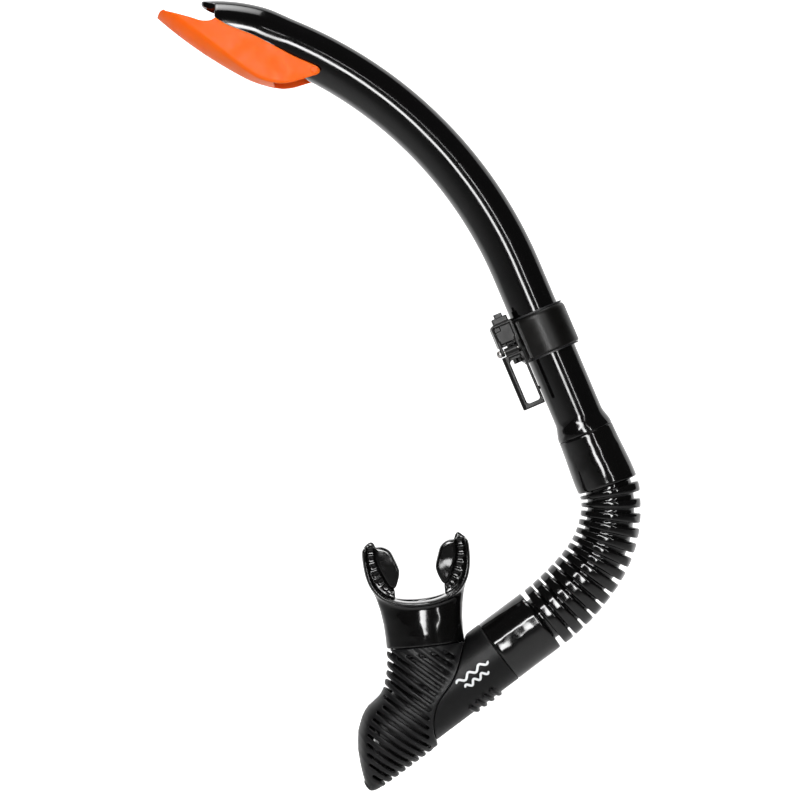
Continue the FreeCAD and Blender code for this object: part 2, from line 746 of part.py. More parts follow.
def mouthpiece_band():
    """Flat band that clamps the mouthpiece's tail to the neck."""
    outer = loft([oval(port_at(a), PORT_ACROSS, 18.1, 11.4) for a in (-5.0, -2.0)])
    inner = loft([oval(port_at(a), PORT_ACROSS, 17.05, 10.35) for a in (-6.0, -1.0)])
    room_for_swivel = rod(lower_at(-1), lower_at(SOCKET_DEPTH + 1), SWIVEL_R + 0.45)
    return largest_solid(outer.cut(inner).cut(room_for_swivel))


# ---- keeper, clip and buckle ----

def keeper_sleeve():
    """Thin sleeve that grips the barrel and holds the collar between two lips."""
    top = barrel_at(SLEEVE_TOP_U)
    bottom = barrel_at(SLEEVE_BOTTOM_U)
    bore = TUBE_R + RUNNING_GAP
    body = pipe(top, bottom, SLEEVE_R, bore)
    upper_lip = pipe(top, barrel_at(SLEEVE_TOP_U + SLEEVE_LIP), SLEEVE_R + 0.9, bore)
    lower_lip = pipe(barrel_at(SLEEVE_BOTTOM_U - SLEEVE_LIP), bottom, SLEEVE_R + 0.9, bore)
    return fuse_all([body, upper_lip, lower_lip])


def rail(u_low, u_high, grow):
    """T-shaped rail down the collar's left side, grown by a clearance where the clip rides it."""
    stem = barrel_box(u_low, u_high, -18.2, -15.0, -RAIL_HALF_STEM - grow, RAIL_HALF_STEM + grow)
    wide = RAIL_HALF_HEAD + grow
    head = barrel_box(u_low, u_high, -20.2 - grow, -18.2 + grow, -wide, wide)
    return stem.fuse(head)


def keeper_collar():
    """Ring that turns on the sleeve, with the T rail and two low edge ribs for the clip."""
    top_u = SLEEVE_TOP_U + SLEEVE_LIP + 0.1
    bottom_u = SLEEVE_BOTTOM_U - SLEEVE_LIP - 0.1
    outside = rod(barrel_at(top_u), barrel_at(bottom_u), COLLAR_R)
    outside = outside.makeChamfer(1.2, outside.Edges)
    ribs = []
    for side in (-1, 1):
        low, high = sorted((side * 8.0, side * 12.2))
        ribs.append(barrel_box(top_u + 1.2, bottom_u - 1.2, -12.3, -10.8, low, high))
    shape = fuse_all([outside, rail(top_u + 1.2, bottom_u - 1.2, 0)] + ribs)
    return shape.cut(rod(barrel_at(top_u - 1), barrel_at(bottom_u + 1), SLEEVE_R + RUNNING_GAP))


def release_clip():
    """Block that slides on the collar's rail and carries the buckle's pin between two ears."""
    block = barrel_box(
        CLIP_TOP_U, CLIP_BOTTOM_U, CLIP_OUTER_V, CLIP_INNER_V, -CLIP_HALF_DEPTH, CLIP_HALF_DEPTH
    )
    left_ear = ear(CLIP_OUTER_V, CLIP_OUTER_V + CLIP_WALL)
    right_ear = ear(BUCKLE_INNER_V - 1.3, BUCKLE_INNER_V)
    front = -CLIP_HALF_DEPTH - 1
    inner_v = CLIP_OUTER_V + CLIP_WALL
    upper = barrel_box(CLIP_TOP_U + 1.2, -26.9, inner_v, CLIP_INNER_V + 1, front, -9.6)
    lower = barrel_box(-27.0, CLIP_BOTTOM_U + 1, inner_v, CLIP_INNER_V + 1, front, -10.6)
    guide = barrel_box(GUIDE_TOP_U, CLIP_TOP_U + 0.5, LATCH_V[0] - 2.0, LATCH_V[1] + 2.0, -10.4, -3.0)
    shape = block.cut(upper).cut(lower)
    shape = fuse_all([shape, left_ear, right_ear, guide])
    clearance = rod(barrel_at(-45), barrel_at(0), COLLAR_R + 0.2)
    shape = shape.cut(clearance).cut(rail(-45, 0, RAIL_GAP)).cut(latch_pocket())
    pin_hole = rod(barrel_at(PIN_U, -30, PIN_Y), barrel_at(PIN_U, -10, PIN_Y), PIN_R)
    return largest_solid(shape.cut(pin_hole))


def ear(v_low, v_high):
    """One of the two ears that reach down round the buckle's pin."""
    flat = barrel_box(-22.0, PIN_U, v_low, v_high, PIN_Y - 1.9, PIN_Y + 1.9)
    boss = rod(barrel_at(PIN_U, v_low, PIN_Y), barrel_at(PIN_U, v_high, PIN_Y), 1.9)
    return flat.fuse(boss)


def latch_pocket():
    """Guide in the clip for the release latch, wider for its foot, and room for its spring."""
    shaft = barrel_box(GUIDE_TOP_U - 1, -30.0, LATCH_V[0] - 0.1, LATCH_V[1] + 0.1, *LATCH_ROOM_Y)
    foot = barrel_box(-30.6, -24.3, LATCH_FOOT_V - 0.1, LATCH_V[1] + 0.1, *LATCH_ROOM_Y)
    spring = barrel_box(-25, SPRING_FLOOR_U, LATCH_FOOT_V + 0.3, -18.4, *LATCH_ROOM_Y)
    return fuse_all([shaft, foot, spring])


def release_latch():
    """Push button on top of the clip; pressing it frees the clip from the rail."""
    low = LATCH_ROOM_Y[0] + 0.1
    high = LATCH_ROOM_Y[1] - 0.1
    shaft = barrel_box(LATCH_TOP_U, -30.0, LATCH_V[0], LATCH_V[1], low, high)
    foot = barrel_box(-30.5, LATCH_FOOT_U, LATCH_FOOT_V, LATCH_V[1], low, high)
    return shaft.fuse(foot)


def latch_spring():
    """Small coil spring that lifts the latch."""
    coil_r = 1.15
    wire_r = 0.3
    height = SPRING_FLOOR_U - LATCH_FOOT_U - 2 * wire_r
    helix = Part.makeHelix(height / 5, height, coil_r)
    profile = Part.Wire(Part.makeCircle(wire_r, Vector(coil_r, 0, 0), Y_AXIS))
    coil = Part.Wire(helix).makePipeShell([profile], True, True)
    rotation = FreeCAD.Rotation(OUT, Y_AXIS, DOWN, "ZXY")
    start = barrel_at(LATCH_FOOT_U + wire_r, -20.25, sum(LATCH_ROOM_Y) / 2)
    coil.Placement = FreeCAD.Placement(start, rotation)
    return coil


def buckle_pin():
    """Metal pin through both ears and the buckle's knuckle, with a round head."""
    shaft = rod(barrel_at(PIN_U, CLIP_OUTER_V, PIN_Y), barrel_at(PIN_U, BUCKLE_INNER_V, PIN_Y), PIN_R)
    head = cone(
        barrel_at(PIN_U, CLIP_OUTER_V, PIN_Y), barrel_at(PIN_U, CLIP_OUTER_V - 2.2, PIN_Y), 1.9, 1.2
    )
    return shaft.fuse(head)


def strap_buckle():
    """Flat loop for the mask strap, with a knuckle that swings on the pin."""
    y_low = PIN_Y - BUCKLE_THICKNESS / 2
    y_high = PIN_Y + BUCKLE_THICKNESS / 2
    frame = barrel_box(-15.0, 14.6, BUCKLE_OUTER_V, BUCKLE_INNER_V - 0.1, y_low, y_high)
    frame = frame.makeFillet(0.8, frame.Edges)
    half = SLOT_LENGTH / 2
    left = -AXIS_TO_SLOT - SLOT_GAP / 2
    right = -AXIS_TO_SLOT + SLOT_GAP / 2
    slot = barrel_box(-half, half, left, right, y_low - 1, y_high + 1)
    upright = [edge for edge in slot.Edges if abs(edge.tangentAt(edge.FirstParameter).y) > 0.9]
    slot = slot.makeFillet(1.2, upright)
    knuckle = rod(barrel_at(PIN_U, -22.9, PIN_Y), barrel_at(PIN_U, -15.7, PIN_Y), 1.9)
    link = barrel_box(PIN_U, -14.0, -22.9, -15.7, PIN_Y - 1.2, PIN_Y + 1.2)
    shape = fuse_all([frame.cut(slot), knuckle, link])
    bore = rod(barrel_at(PIN_U, -30, PIN_Y), barrel_at(PIN_U, -10, PIN_Y), PIN_R + RUNNING_GAP)
    return shape.cut(bore)


PIECES = {
    "barrel_tube": barrel_with_pin_holes,
    "splash_guard": splash_guard,
    "guard_pins": guard_pins,
    "hose_coupling": hose_coupling,
    "flex_hose": flex_hose,
    "swivel_spigot": swivel_spigot,
    "swivel_o_ring": swivel_o_ring,
    "swivel_snap_ring": swivel_snap_ring,
    "lower_body": lower_body,
    "ribbed_cover": ribbed_cover,
    "valve_seat": valve_seat,
    "seat_gasket": seat_gasket,
    "purge_valve": purge_valve,
    "mouthpiece": mouthpiece,
    "mouthpiece_band": mouthpiece_band,
    "keeper_sleeve": keeper_sleeve,
    "keeper_collar": keeper_collar,
    "release_clip": release_clip,
    "release_latch": release_latch,
    "latch_spring": latch_spring,
    "buckle_pin": buckle_pin,
    "strap_buckle": strap_buckle,
}


# each pair is a piece and the one that is seated in it, which takes its own space out of the first
SEATED_IN = (
    ("lower_body", "mouthpiece_band"), ("lower_body", "mouthpiece"),
    ("ribbed_cover", "lower_body"), ("ribbed_cover", "mouthpiece_band"),
)


def main():
    os.makedirs("parts", exist_ok=True)
    shapes = {name: build() for name, build in PIECES.items()}
    for outer, seated in SEATED_IN:
        shapes[outer] = largest_solid(shapes[outer].cut(shapes[seated]))
    for name, shape in shapes.items():
        shape.translate(Y_AXIS * BARREL_PLANE_Y)
        shape.exportStep("parts/" + name + ".step")
        print(name, len(shape.Solids), "solid(s)", round(shape.Volume), "mm3", shape.isValid())


main()
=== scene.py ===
"""Snorkel tube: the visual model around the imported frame.

Shapes are worked out in millimetres in the barrel's plane of symmetry (y = 0) and are moved to the
row frame, in metres, when a mesh is made. Swept pieces are built ring by ring. Moulded pieces with
soft edges are built as distance fields on a grid and are meshed with surface nets.
"""

import math

import bmesh
import bpy
import numpy as np
from mathutils import Matrix, Vector


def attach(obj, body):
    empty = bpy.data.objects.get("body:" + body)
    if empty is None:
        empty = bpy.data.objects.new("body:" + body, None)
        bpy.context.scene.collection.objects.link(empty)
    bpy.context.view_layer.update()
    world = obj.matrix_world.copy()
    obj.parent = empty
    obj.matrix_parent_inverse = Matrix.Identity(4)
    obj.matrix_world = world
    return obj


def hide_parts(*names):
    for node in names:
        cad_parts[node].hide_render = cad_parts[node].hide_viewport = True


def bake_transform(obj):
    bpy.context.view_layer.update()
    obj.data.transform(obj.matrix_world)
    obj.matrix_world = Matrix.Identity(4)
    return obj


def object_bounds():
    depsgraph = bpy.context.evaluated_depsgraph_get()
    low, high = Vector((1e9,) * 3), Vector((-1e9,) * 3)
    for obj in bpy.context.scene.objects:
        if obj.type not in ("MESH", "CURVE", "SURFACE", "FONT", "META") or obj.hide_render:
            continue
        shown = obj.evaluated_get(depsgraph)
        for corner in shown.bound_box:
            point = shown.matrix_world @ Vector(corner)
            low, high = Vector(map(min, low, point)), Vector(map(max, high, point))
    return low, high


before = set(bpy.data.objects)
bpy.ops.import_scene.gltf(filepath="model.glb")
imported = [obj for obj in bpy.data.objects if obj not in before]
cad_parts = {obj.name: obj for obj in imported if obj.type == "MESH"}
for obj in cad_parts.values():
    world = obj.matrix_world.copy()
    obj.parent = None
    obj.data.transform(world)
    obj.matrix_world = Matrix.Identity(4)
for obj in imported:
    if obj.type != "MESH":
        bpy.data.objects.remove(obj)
cad_low, cad_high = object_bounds()

PLANE_Y = 10.5
DEG = math.pi / 180

# ---- frames along the object

AXIS_TO_SLOT = 18.9
BARREL_HEADING = 67.0
HOSE_START_U = 67.5
HOSE_ARCS = ((21.3, 18.0), (56.3, 40.3), (121.5, 17.83))
LOWER_CUFF = 27.8


def heading_axes(heading):
    """Unit vector along a heading below +X, and the one to its outer side, for one heading or many."""
    t = np.asarray(heading, float) * DEG
    return np.stack([np.cos(t), 0 * t, -np.sin(t)], -1), np.stack([np.sin(t), 0 * t, np.cos(t)], -1)


DOWN, OUT = heading_axes(BARREL_HEADING)
Y = np.array([0.0, 1.0, 0.0])


def barrel_at(u, v=0.0, y=0.0):
    """Point u down the barrel's straight axis, v to its outer side, y behind its plane."""
    return OUT * (AXIS_TO_SLOT + v) + DOWN * u + Y * y


def hose_at(s):
    """Centre and heading of the hose's bend after a length s, straight on past either end."""
    point = barrel_at(HOSE_START_U)
    heading = BARREL_HEADING
    if s < 0:
        return point + DOWN * s, heading
    for radius, turn in HOSE_ARCS:
        step = min(turn, s / radius / DEG)
        point = point - heading_axes(heading)[1] * radius
        heading += step
        point = point + heading_axes(heading)[1] * radius
        s -= step * DEG * radius
    return point + heading_axes(heading)[0] * max(s, 0.0), heading


HOSE_LENGTH = sum(radius * turn * DEG for radius, turn in HOSE_ARCS)
HOSE_END, LOWER_HEADING = hose_at(HOSE_LENGTH)
ALONG, UNDER = heading_axes(LOWER_HEADING)
LOWER_ORIGIN = HOSE_END + ALONG * LOWER_CUFF


def lower_at(e, m=0.0, y=0.0):
    """Point e along the lower axis from the hose's end seam, m towards its underside."""
    return LOWER_ORIGIN + ALONG * e + UNDER * m + Y * y


PORT_TILT = 6.1 * DEG
PORT_ORIGIN = np.array([-51.2, 0, -138.7])
PORT_UP = np.array([-math.sin(PORT_TILT), 0, math.cos(PORT_TILT)])
PORT_ACROSS = np.array([math.cos(PORT_TILT), 0, math.sin(PORT_TILT)])
MOUTH_CENTRE_B = -0.6


def port_at(a, b=0.0, y=0.0):
    """Point a up the mouthpiece port's axis from its seam, b across it."""
    return PORT_ORIGIN + PORT_UP * a + PORT_ACROSS * (b + MOUTH_CENTRE_B) + Y * y


# ---- mesh helpers

def to_world(points):
    """Millimetres in the plane's frame to metres in the row frame."""
    moved = np.array(points, float)
    moved[:, 1] += PLANE_Y
    return moved / 1000.0


def make_object(name, points, faces, smooth=True, sharp_deg=None):
    """Mesh object from points in millimetres, with outward normals and no doubled points."""
    mesh = bpy.data.meshes.new(name)
    mesh.from_pydata(to_world(points).tolist(), [], [list(map(int, f)) for f in faces])
    mesh.update()
    bm = bmesh.new()
    bm.from_mesh(mesh)
    bmesh.ops.remove_doubles(bm, verts=bm.verts, dist=2e-7)
    bmesh.ops.dissolve_degenerate(bm, edges=bm.edges, dist=1e-7)
    bmesh.ops.recalc_face_normals(bm, faces=bm.faces)
    bm.to_mesh(mesh)
    bm.free()
    obj = bpy.data.objects.new(name, mesh)
    bpy.context.scene.collection.objects.link(obj)
    if smooth:
        mesh.polygons.foreach_set("use_smooth", [True] * len(mesh.polygons))
    if sharp_deg is not None:
        mesh.set_sharp_from_angle(angle=sharp_deg * DEG)
    return obj


def ring_faces(rows, columns, wrap_rows=False):
    """Quads of a grid of points that closes round its columns."""
    count = rows if wrap_rows else rows - 1
    r = np.arange(count)[:, None]
    c = np.arange(columns)[None, :]
    r2 = (r + 1) % rows
    c2 = (c + 1) % columns
    quads = np.stack([r * columns + c, r * columns + c2, r2 * columns + c2, r2 * columns + c], -1)
    return quads.reshape(-1, 4)


def smoothstep(x, low, high):
    """0 below low, 1 above high and an even ease between."""
    t = np.clip((x - low) / (high - low), 0, 1)
    return t * t * (3 - 2 * t)


def spline(points, count):
    """Points of a Catmull-Rom curve through the given ones."""
    p = np.array(points, float)
    p = np.vstack([2 * p[0] - p[1], p, 2 * p[-1] - p[-2]])
    out = []
    spans = len(p) - 3
    for t in np.linspace(0, spans, count):
        i = min(int(t), spans - 1)
        f = t - i
        a, b, c, d = p[i:i + 4]
        out.append(0.5 * (2 * b + (c - a) * f + (2 * a - 5 * b + 4 * c - d) * f * f
                          + (3 * b - a - 3 * c + d) * f ** 3))
    return np.array(out)


# ---- distance fields

def union(a, b, k=0.0):
    """Both shapes, with a fillet of about k between them."""
    if k <= 0:
        return np.minimum(a, b)
    h = np.clip(0.5 + 0.5 * (b - a) / k, 0, 1)
    return b + (a - b) * h - k * h * (1 - h)


def common(a, b, k=0.0):
    """What is in both shapes, with edges rounded by about k."""
    return -union(-a, -b, k)


def cut(a, b, k=0.0):
    """The first shape without the second, with edges rounded by about k."""
    return common(a, -b, k)


def polygon_field(points, x, z):
    """Signed distance to a closed polygon, negative inside, on arrays x and z of one shape."""
    p = np.array(points, float)
    best = np.full(x.shape, 1e9, np.float64)
    inside = np.zeros(x.shape, bool)
    for (ax, az), (bx, bz) in zip(p, np.roll(p, -1, 0)):
        ex, ez = bx - ax, bz - az
        t = np.clip(((x - ax) * ex + (z - az) * ez) / max(ex * ex + ez * ez, 1e-12), 0, 1)
        best = np.minimum(best, (x - ax - t * ex) ** 2 + (z - az - t * ez) ** 2)
        crosses = (az > z) != (bz > z)
        if ez != 0:
            inside ^= crosses & (x < (z - az) / ez * ex + ax)
    return np.sqrt(best) * np.where(inside, -1, 1)


def block_field(x, y, z, low, high, r=0.0):
    """Rounded block between two corners; a coordinate that isn't limited is None in both."""
    parts = []
    for c, lo, hi in zip((x, y, z), low, high):
        if lo is not None:
            parts.append(np.abs(c - (lo + hi) / 2) - (hi - lo) / 2 + r)
    outside = 0.0
    most = parts[0]
    for part in parts:
        outside = outside + np.maximum(part, 0) ** 2
        most = np.maximum(most, part)
    return np.sqrt(outside) + np.minimum(most, 0) - r


def extrude_field(flat, y, half, r=0.0):
    """A flat field made a plate of a half thickness, with rounded edges."""
    a = flat + r
    b = np.abs(y) - half + r
    return np.sqrt(np.maximum(a, 0) ** 2 + np.maximum(b, 0) ** 2) + np.minimum(np.maximum(a, b), 0) - r


def oval_field(p, q, half_p, half_q):
    """Distance to an ellipse in two coordinates, good near its edge."""
    k0 = np.sqrt((p / half_p) ** 2 + (q / half_q) ** 2)
    k1 = np.sqrt((p / half_p ** 2) ** 2 + (q / half_q ** 2) ** 2)
    return k0 * (k0 - 1) / np.maximum(k1, 1e-6)


def true_distance(f, step):
    """The field divided by its own slope, so that offsets come out even."""
    gx, gy, gz = np.gradient(f, step)
    slope = np.sqrt(gx * gx + gy * gy + gz * gz)
    return f / np.clip(slope, 0.6, 4.0)


class Grid:
    """Points in a local frame whose second axis is Y, kept to y >= 0 and mirrored at the end."""

    def __init__(self, origin, ax, az, low, high, step):
        self.origin, self.ax, self.az, self.step = origin, ax, az, step
        self.low = np.array([low[0], 0.0, low[2]])
        self.x = np.arange(low[0], high[0] + step, step)[:, None, None]
        self.y = np.arange(0.0, high[1] + step, step)[None, :, None]
        self.z = np.arange(low[2], high[2] + step, step)[None, None, :]
        self.flat_x, self.flat_z = np.meshgrid(self.x[:, 0, 0], self.z[0, 0, :], indexing="ij")

    @staticmethod
    def lift(flat):
        """A field of x and z alone, ready to combine with y."""
        return flat[:, None, :]

    def polygon(self, points):
        """Distance to a polygon of the plane, the same at every y."""
        return self.lift(polygon_field(points, self.flat_x, self.flat_z))

    def coordinate(self, origin, axis):
        """How far each point lies along an axis in the plane from an origin."""
        p = self.origin + self.flat_x[..., None] * self.ax + self.flat_z[..., None] * self.az
        return self.lift((p[..., 0] - origin[0]) * axis[0] + (p[..., 2] - origin[2]) * axis[2])

    def to_plane(self, points):
        """Points of the grid's frame in the plane's frame."""
        return self.origin + points[:, :1] * self.ax + points[:, 1:2] * Y + points[:, 2:3] * self.az

    def mesh(self, name, f):
        """The field's zero surface as an object, mirrored in the plane of symmetry."""
        shape = (self.x.shape[0], self.y.shape[1], self.z.shape[2])
        f = np.broadcast_to(f, shape)
        f = np.concatenate([f[:, :0:-1, :], f], axis=1)
        low = self.low.copy()
        low[1] = -self.y[0, -1, 0]
        points, quads = surface_nets(f, low, self.step)
        return make_object(name, self.to_plane(points), quads)


def plane_grid(low, high, step):
    """A grid along the plane's own x and z."""
    return Grid(np.zeros(3), np.array([1.0, 0, 0]), np.array([0, 0, 1.0]), low, high, step)


CORNERS = [(i, j, k) for i in (0, 1) for j in (0, 1) for k in (0, 1)]
EDGES = [(a, b) for a in CORNERS for b in CORNERS if a < b and sum(abs(p - q) for p, q in zip(a, b)) == 1]


def surface_nets(f, low, step):
    """Quads over the zero surface of a field: one point per crossed cell, drawn onto the surface."""
    f = np.pad(f, 1, constant_values=1.0).astype(np.float32)
    inside = f < 0
    total = np.zeros(tuple(n - 1 for n in f.shape), np.int8)
    for i, j, k in CORNERS:
        total += inside[i:i + total.shape[0], j:j + total.shape[1], k:k + total.shape[2]]
    cells = np.argwhere((total > 0) & (total < 8))
    number = np.full(total.shape, -1, np.int32)
    number[tuple(cells.T)] = np.arange(len(cells))
    points = np.zeros((len(cells), 3))
    hits = np.zeros(len(cells))
    for a, b in EDGES:
        fa = f[tuple((cells + a).T)]
        fb = f[tuple((cells + b).T)]
        crossed = (fa < 0) != (fb < 0)
        t = np.where(crossed, fa / np.where(crossed, fa - fb, 1), 0)
        at = np.array(a) + t[:, None] * (np.array(b) - np.array(a))
        points += at * crossed[:, None]
        hits += crossed
    points = cells + points / hits[:, None]
    quads = []
    for axis in range(3):
        p, q = [n for n in range(3) if n != axis]
        changed = inside != np.roll(inside, -1, axis)
        for blocked, part in ((axis, slice(-1, None)), (p, slice(0, 1)), (q, slice(0, 1))):
            changed[tuple(part if n == blocked else slice(None) for n in range(3))] = False
        at = np.argwhere(changed)
        corners = []
        for dp, dq in ((-1, -1), (0, -1), (0, 0), (-1, 0)):
            c = at.copy()
            c[:, p] += dp
            c[:, q] += dq
            corners.append(number[tuple(c.T)])
        quad = np.stack(corners, 1)
        flip = inside[tuple(at.T)] == (axis == 1)
        quad[flip] = quad[flip][:, ::-1]
        quads.append(quad)
    quads = np.concatenate(quads)
    quads = quads[(quads >= 0).all(1)]
    points = settle(f, points)
    return np.array(low) + (points - 1) * step, quads


def settle(f, points):
    """Moves points along the field's slope onto its zero surface."""
    top = np.array(f.shape) - 2
    for _ in range(3):
        base = np.clip(np.floor(points).astype(int), 0, top)
        t = points - base
        value = np.zeros(len(points))
        slope = np.zeros((len(points), 3))
        for corner in CORNERS:
            c = np.array(corner)
            w = np.where(c, t, 1 - t)
            sample = f[tuple((base + c).T)]
            value += sample * w.prod(1)
            for n in range(3):
                others = w[:, [m for m in range(3) if m != n]].prod(1)
                slope[:, n] += sample * (1 if c[n] else -1) * others
        size = (slope ** 2).sum(1)
        move = -(value / np.maximum(size, 1e-6))[:, None] * slope
        length = np.sqrt((move ** 2).sum(1))[:, None]
        points = points + move * np.minimum(1, 0.35 / np.maximum(length, 1e-9))
    return points


# ---- barrel

TUBE_R = 13.0
BORE_R = 11.25
BELL_TOP_U = 28.0
BELL_END_U = 38.0
BELL_R = 14.9
BEND_START_U = -54.6
BEND_R = 222.5
BEND_TURN = 47.7
HEAD_R = 13.9
HEAD_BEND_R = 80.0
HEAD_TURN = 27.5
STRAIGHT = BELL_END_U - BEND_START_U
BEND_S = STRAIGHT + BEND_R * BEND_TURN * DEG
HEAD_S = BEND_S + HEAD_BEND_R * HEAD_TURN * DEG
GUARD_INNER = 12.3
GUARD_EDGE = [(-187.2, 192.5), (-185.0, 191.9), (-173.9, 188.9), (-171.0, 187.9), (-168.0, 187.25),
              (-164.6, 187.3), (-162.6, 188.0), (-161.5, 188.8), (-154.2, 184.7), (-142.3, 180.1),
              (-133.9, 175.9), (-121.0, 169.0), (-112.0, 165.0)]
GUARD_REAR_X = -112.0
LIP_X = -161.4
LIP_LENGTH = 7.6
LIP_HALF = 7.7
SCARF_TOP = 189.0
SCARF_SLOPE = 0.66
END_ROUND = 0.5
RIM_ROUND = 0.55


def barrel_path(s):
    """Centre, outward and upward directions of the barrel at lengths s up from its belled end."""
    s = np.asarray(s, float)
    turn = np.clip((s - STRAIGHT) / BEND_R / DEG, 0, BEND_TURN)
    head = np.clip((s - BEND_S) / HEAD_BEND_R / DEG, 0, 60)
    down, out = heading_axes(BARREL_HEADING - turn - head)
    centre_1 = barrel_at(BEND_START_U) - OUT * BEND_R
    out_1 = heading_axes(BARREL_HEADING - turn)[1]
    bend_end_out = heading_axes(BARREL_HEADING - BEND_TURN)[1]
    bend_end = centre_1 + bend_end_out * BEND_R
    centre_2 = bend_end - bend_end_out * HEAD_BEND_R
    straight = barrel_at(BELL_END_U) - DOWN * s[..., None]
    centre = np.where((s < STRAIGHT)[..., None], straight, centre_1 + out_1 * BEND_R)
    centre = np.where((s > BEND_S)[..., None], centre_2 + out * HEAD_BEND_R, centre)
    return centre, out, -down


def barrel_radius(s):
    """Outer radius of the barrel."""
    bell = 1 - smoothstep(s, 0.5, BELL_END_U - BELL_TOP_U)
    head = smoothstep(s, BEND_S - 12.0, BEND_S + 6.0)
    drop = ((END_ROUND - s) / END_ROUND).clip(0, 1)
    end_round = (np.sqrt(np.clip(1 - drop ** 2, 0, 1)) - 1) * END_ROUND
    return TUBE_R + (BELL_R - TUBE_R) * bell + (HEAD_R - TUBE_R) * head + end_round


def edge_height(x):
    """Height of the guard's upper edge."""
    e = np.array(GUARD_EDGE)
    return np.interp(x, e[:, 0], e[:, 1])


def keep_nose(p):
    """Positive where the barrel's material stays behind its open, slanted nose."""
    x, y, z = p[..., 0], p[..., 1], p[..., 2]
    lip = LIP_X - LIP_LENGTH * np.clip(1 - np.abs(y / LIP_HALF) ** 2.2, 0, 1) ** 0.55
    scarf = ((z - SCARF_TOP) + (x - LIP_X) * SCARF_SLOPE) / math.hypot(1, SCARF_SLOPE)
    return np.minimum(x - lip, np.where(z > SCARF_TOP, 1e3, scarf))


def barrel_mesh():
    """The rigid tube, with flats under the guard and a rounded rim round its nose."""
    upper, lower = 40, 30
    sample = np.linspace(STRAIGHT + 100, HEAD_S, 160)
    angles = np.linspace(40 * DEG, 150 * DEG, 400)
    centre, out, _ = barrel_path(sample)
    reach = barrel_radius(sample)[:, None] * np.cos(angles)
    x = centre[:, :1] + out[:, :1] * reach
    z = centre[:, 2:] + out[:, 2:] * reach
    below = z < edge_height(x) + 0.35
    edge_angle = np.where(below.any(1), angles[below.argmax(1)], angles[-1])
    first = (centre[:, 0] < -108).argmax()
    edge_angle[:first] = edge_angle[first]
    edge_angle = np.convolve(np.pad(edge_angle, 1, mode="edge"), [0.25, 0.5, 0.25], "valid")

    def angle_grid(s):
        e = np.interp(s, sample, edge_angle, left=edge_angle[0])[..., None]
        top = np.linspace(0, 1, upper + 1) * e
        bottom = e + (math.pi - e) * np.linspace(0, 1, lower + 1)
        half = np.concatenate([top, bottom], -1)
        return np.concatenate([half, -half[..., -2:0:-1]], -1)

    columns = 2 * (upper + lower + 2) - 2
    index = np.arange(columns)
    mirrored = np.where(index <= upper + lower + 1, index, columns - index)
    below_edge = mirrored > upper

    def surface(s, radius, outer):
        """Points at a length for each column and one radius, or one for each."""
        angle = np.take_along_axis(angle_grid(s), np.broadcast_to(index, s.shape)[..., None], -1)[..., 0]
        c, out, up = barrel_path(s)
        p = c + out * (radius * np.cos(angle))[..., None] + Y * (radius * np.sin(angle))[..., None]
        if outer:
            flat = below_edge & (p[..., 0] < GUARD_REAR_X)
            p[..., 1] = np.where(flat, np.clip(p[..., 1], -GUARD_INNER, GUARD_INNER), p[..., 1])
        return p

    def row(s, radius, outer):
        return surface(np.full(columns, float(s)), radius, outer)

    def end_length(radius_of, outer):
        """Length at which each column of a surface reaches the nose's cut."""
        low = np.full(columns, STRAIGHT + 115.0)
        high = np.full(columns, HEAD_S + 6.0)
        for _ in range(40):
            middle = (low + high) / 2
            stays = keep_nose(surface(middle, radius_of(middle), outer)) > 0
            low = np.where(stays, middle, low)
            high = np.where(stays, high, middle)
        return low

    outer_end = end_length(barrel_radius, True)
    inner_end = end_length(lambda s: BORE_R, False)
    trim_start = min(outer_end.min(), inner_end.min()) - 2.0
    lengths = [0.0, 0.05, 0.15, 0.3, 0.5, *np.arange(1.0, 12, 0.5), *np.arange(12, trim_start, 1.4)]
    rows = [row(s, barrel_radius(np.float64(s)), True) for s in lengths]
    steps = 46
    for k in range(steps + 1):
        s = trim_start + (outer_end - trim_start) * (k / steps)
        rows.append(surface(s, barrel_radius(s), True))
    last_outer = rows[-1]
    inner_rows = []
    for k in range(steps, -1, -1):
        s = trim_start + (inner_end - trim_start) * (k / steps)
        inner_rows.append(surface(s, BORE_R, False))
    _, _, up = barrel_path(outer_end)
    middle = (last_outer + inner_rows[0]) / 2
    half = (last_outer - inner_rows[0]) / 2
    for turn in (25, 50, 75, 105, 130, 155):
        rows.append(middle + half * math.cos(turn * DEG) + up * RIM_ROUND * math.sin(turn * DEG))
    rows += inner_rows
    rows += [row(s, BORE_R, False) for s in np.arange(trim_start - 3, 1, -3.0)]
    rows.append(row(0.0, BORE_R, False))
    faces = ring_faces(len(rows), columns, wrap_rows=True)
    return make_object("Barrel", np.concatenate(rows), faces, sharp_deg=38)


# ---- splash guard

GUARD_HALF = 13.9
GUARD_WALL = 1.5
KEEL_CENTRE = (-39.5, 365.6)
KEEL_R = 233.0
KEEL_SAG = 6.4
KEEL_LOW = 154.0
BOW_X = -183.8
BOW_LENGTH = 9.4
DRAIN_X = -131.2
GUARD_PIN = (-109.6, 161.6)
PIN_RING_R = 1.75


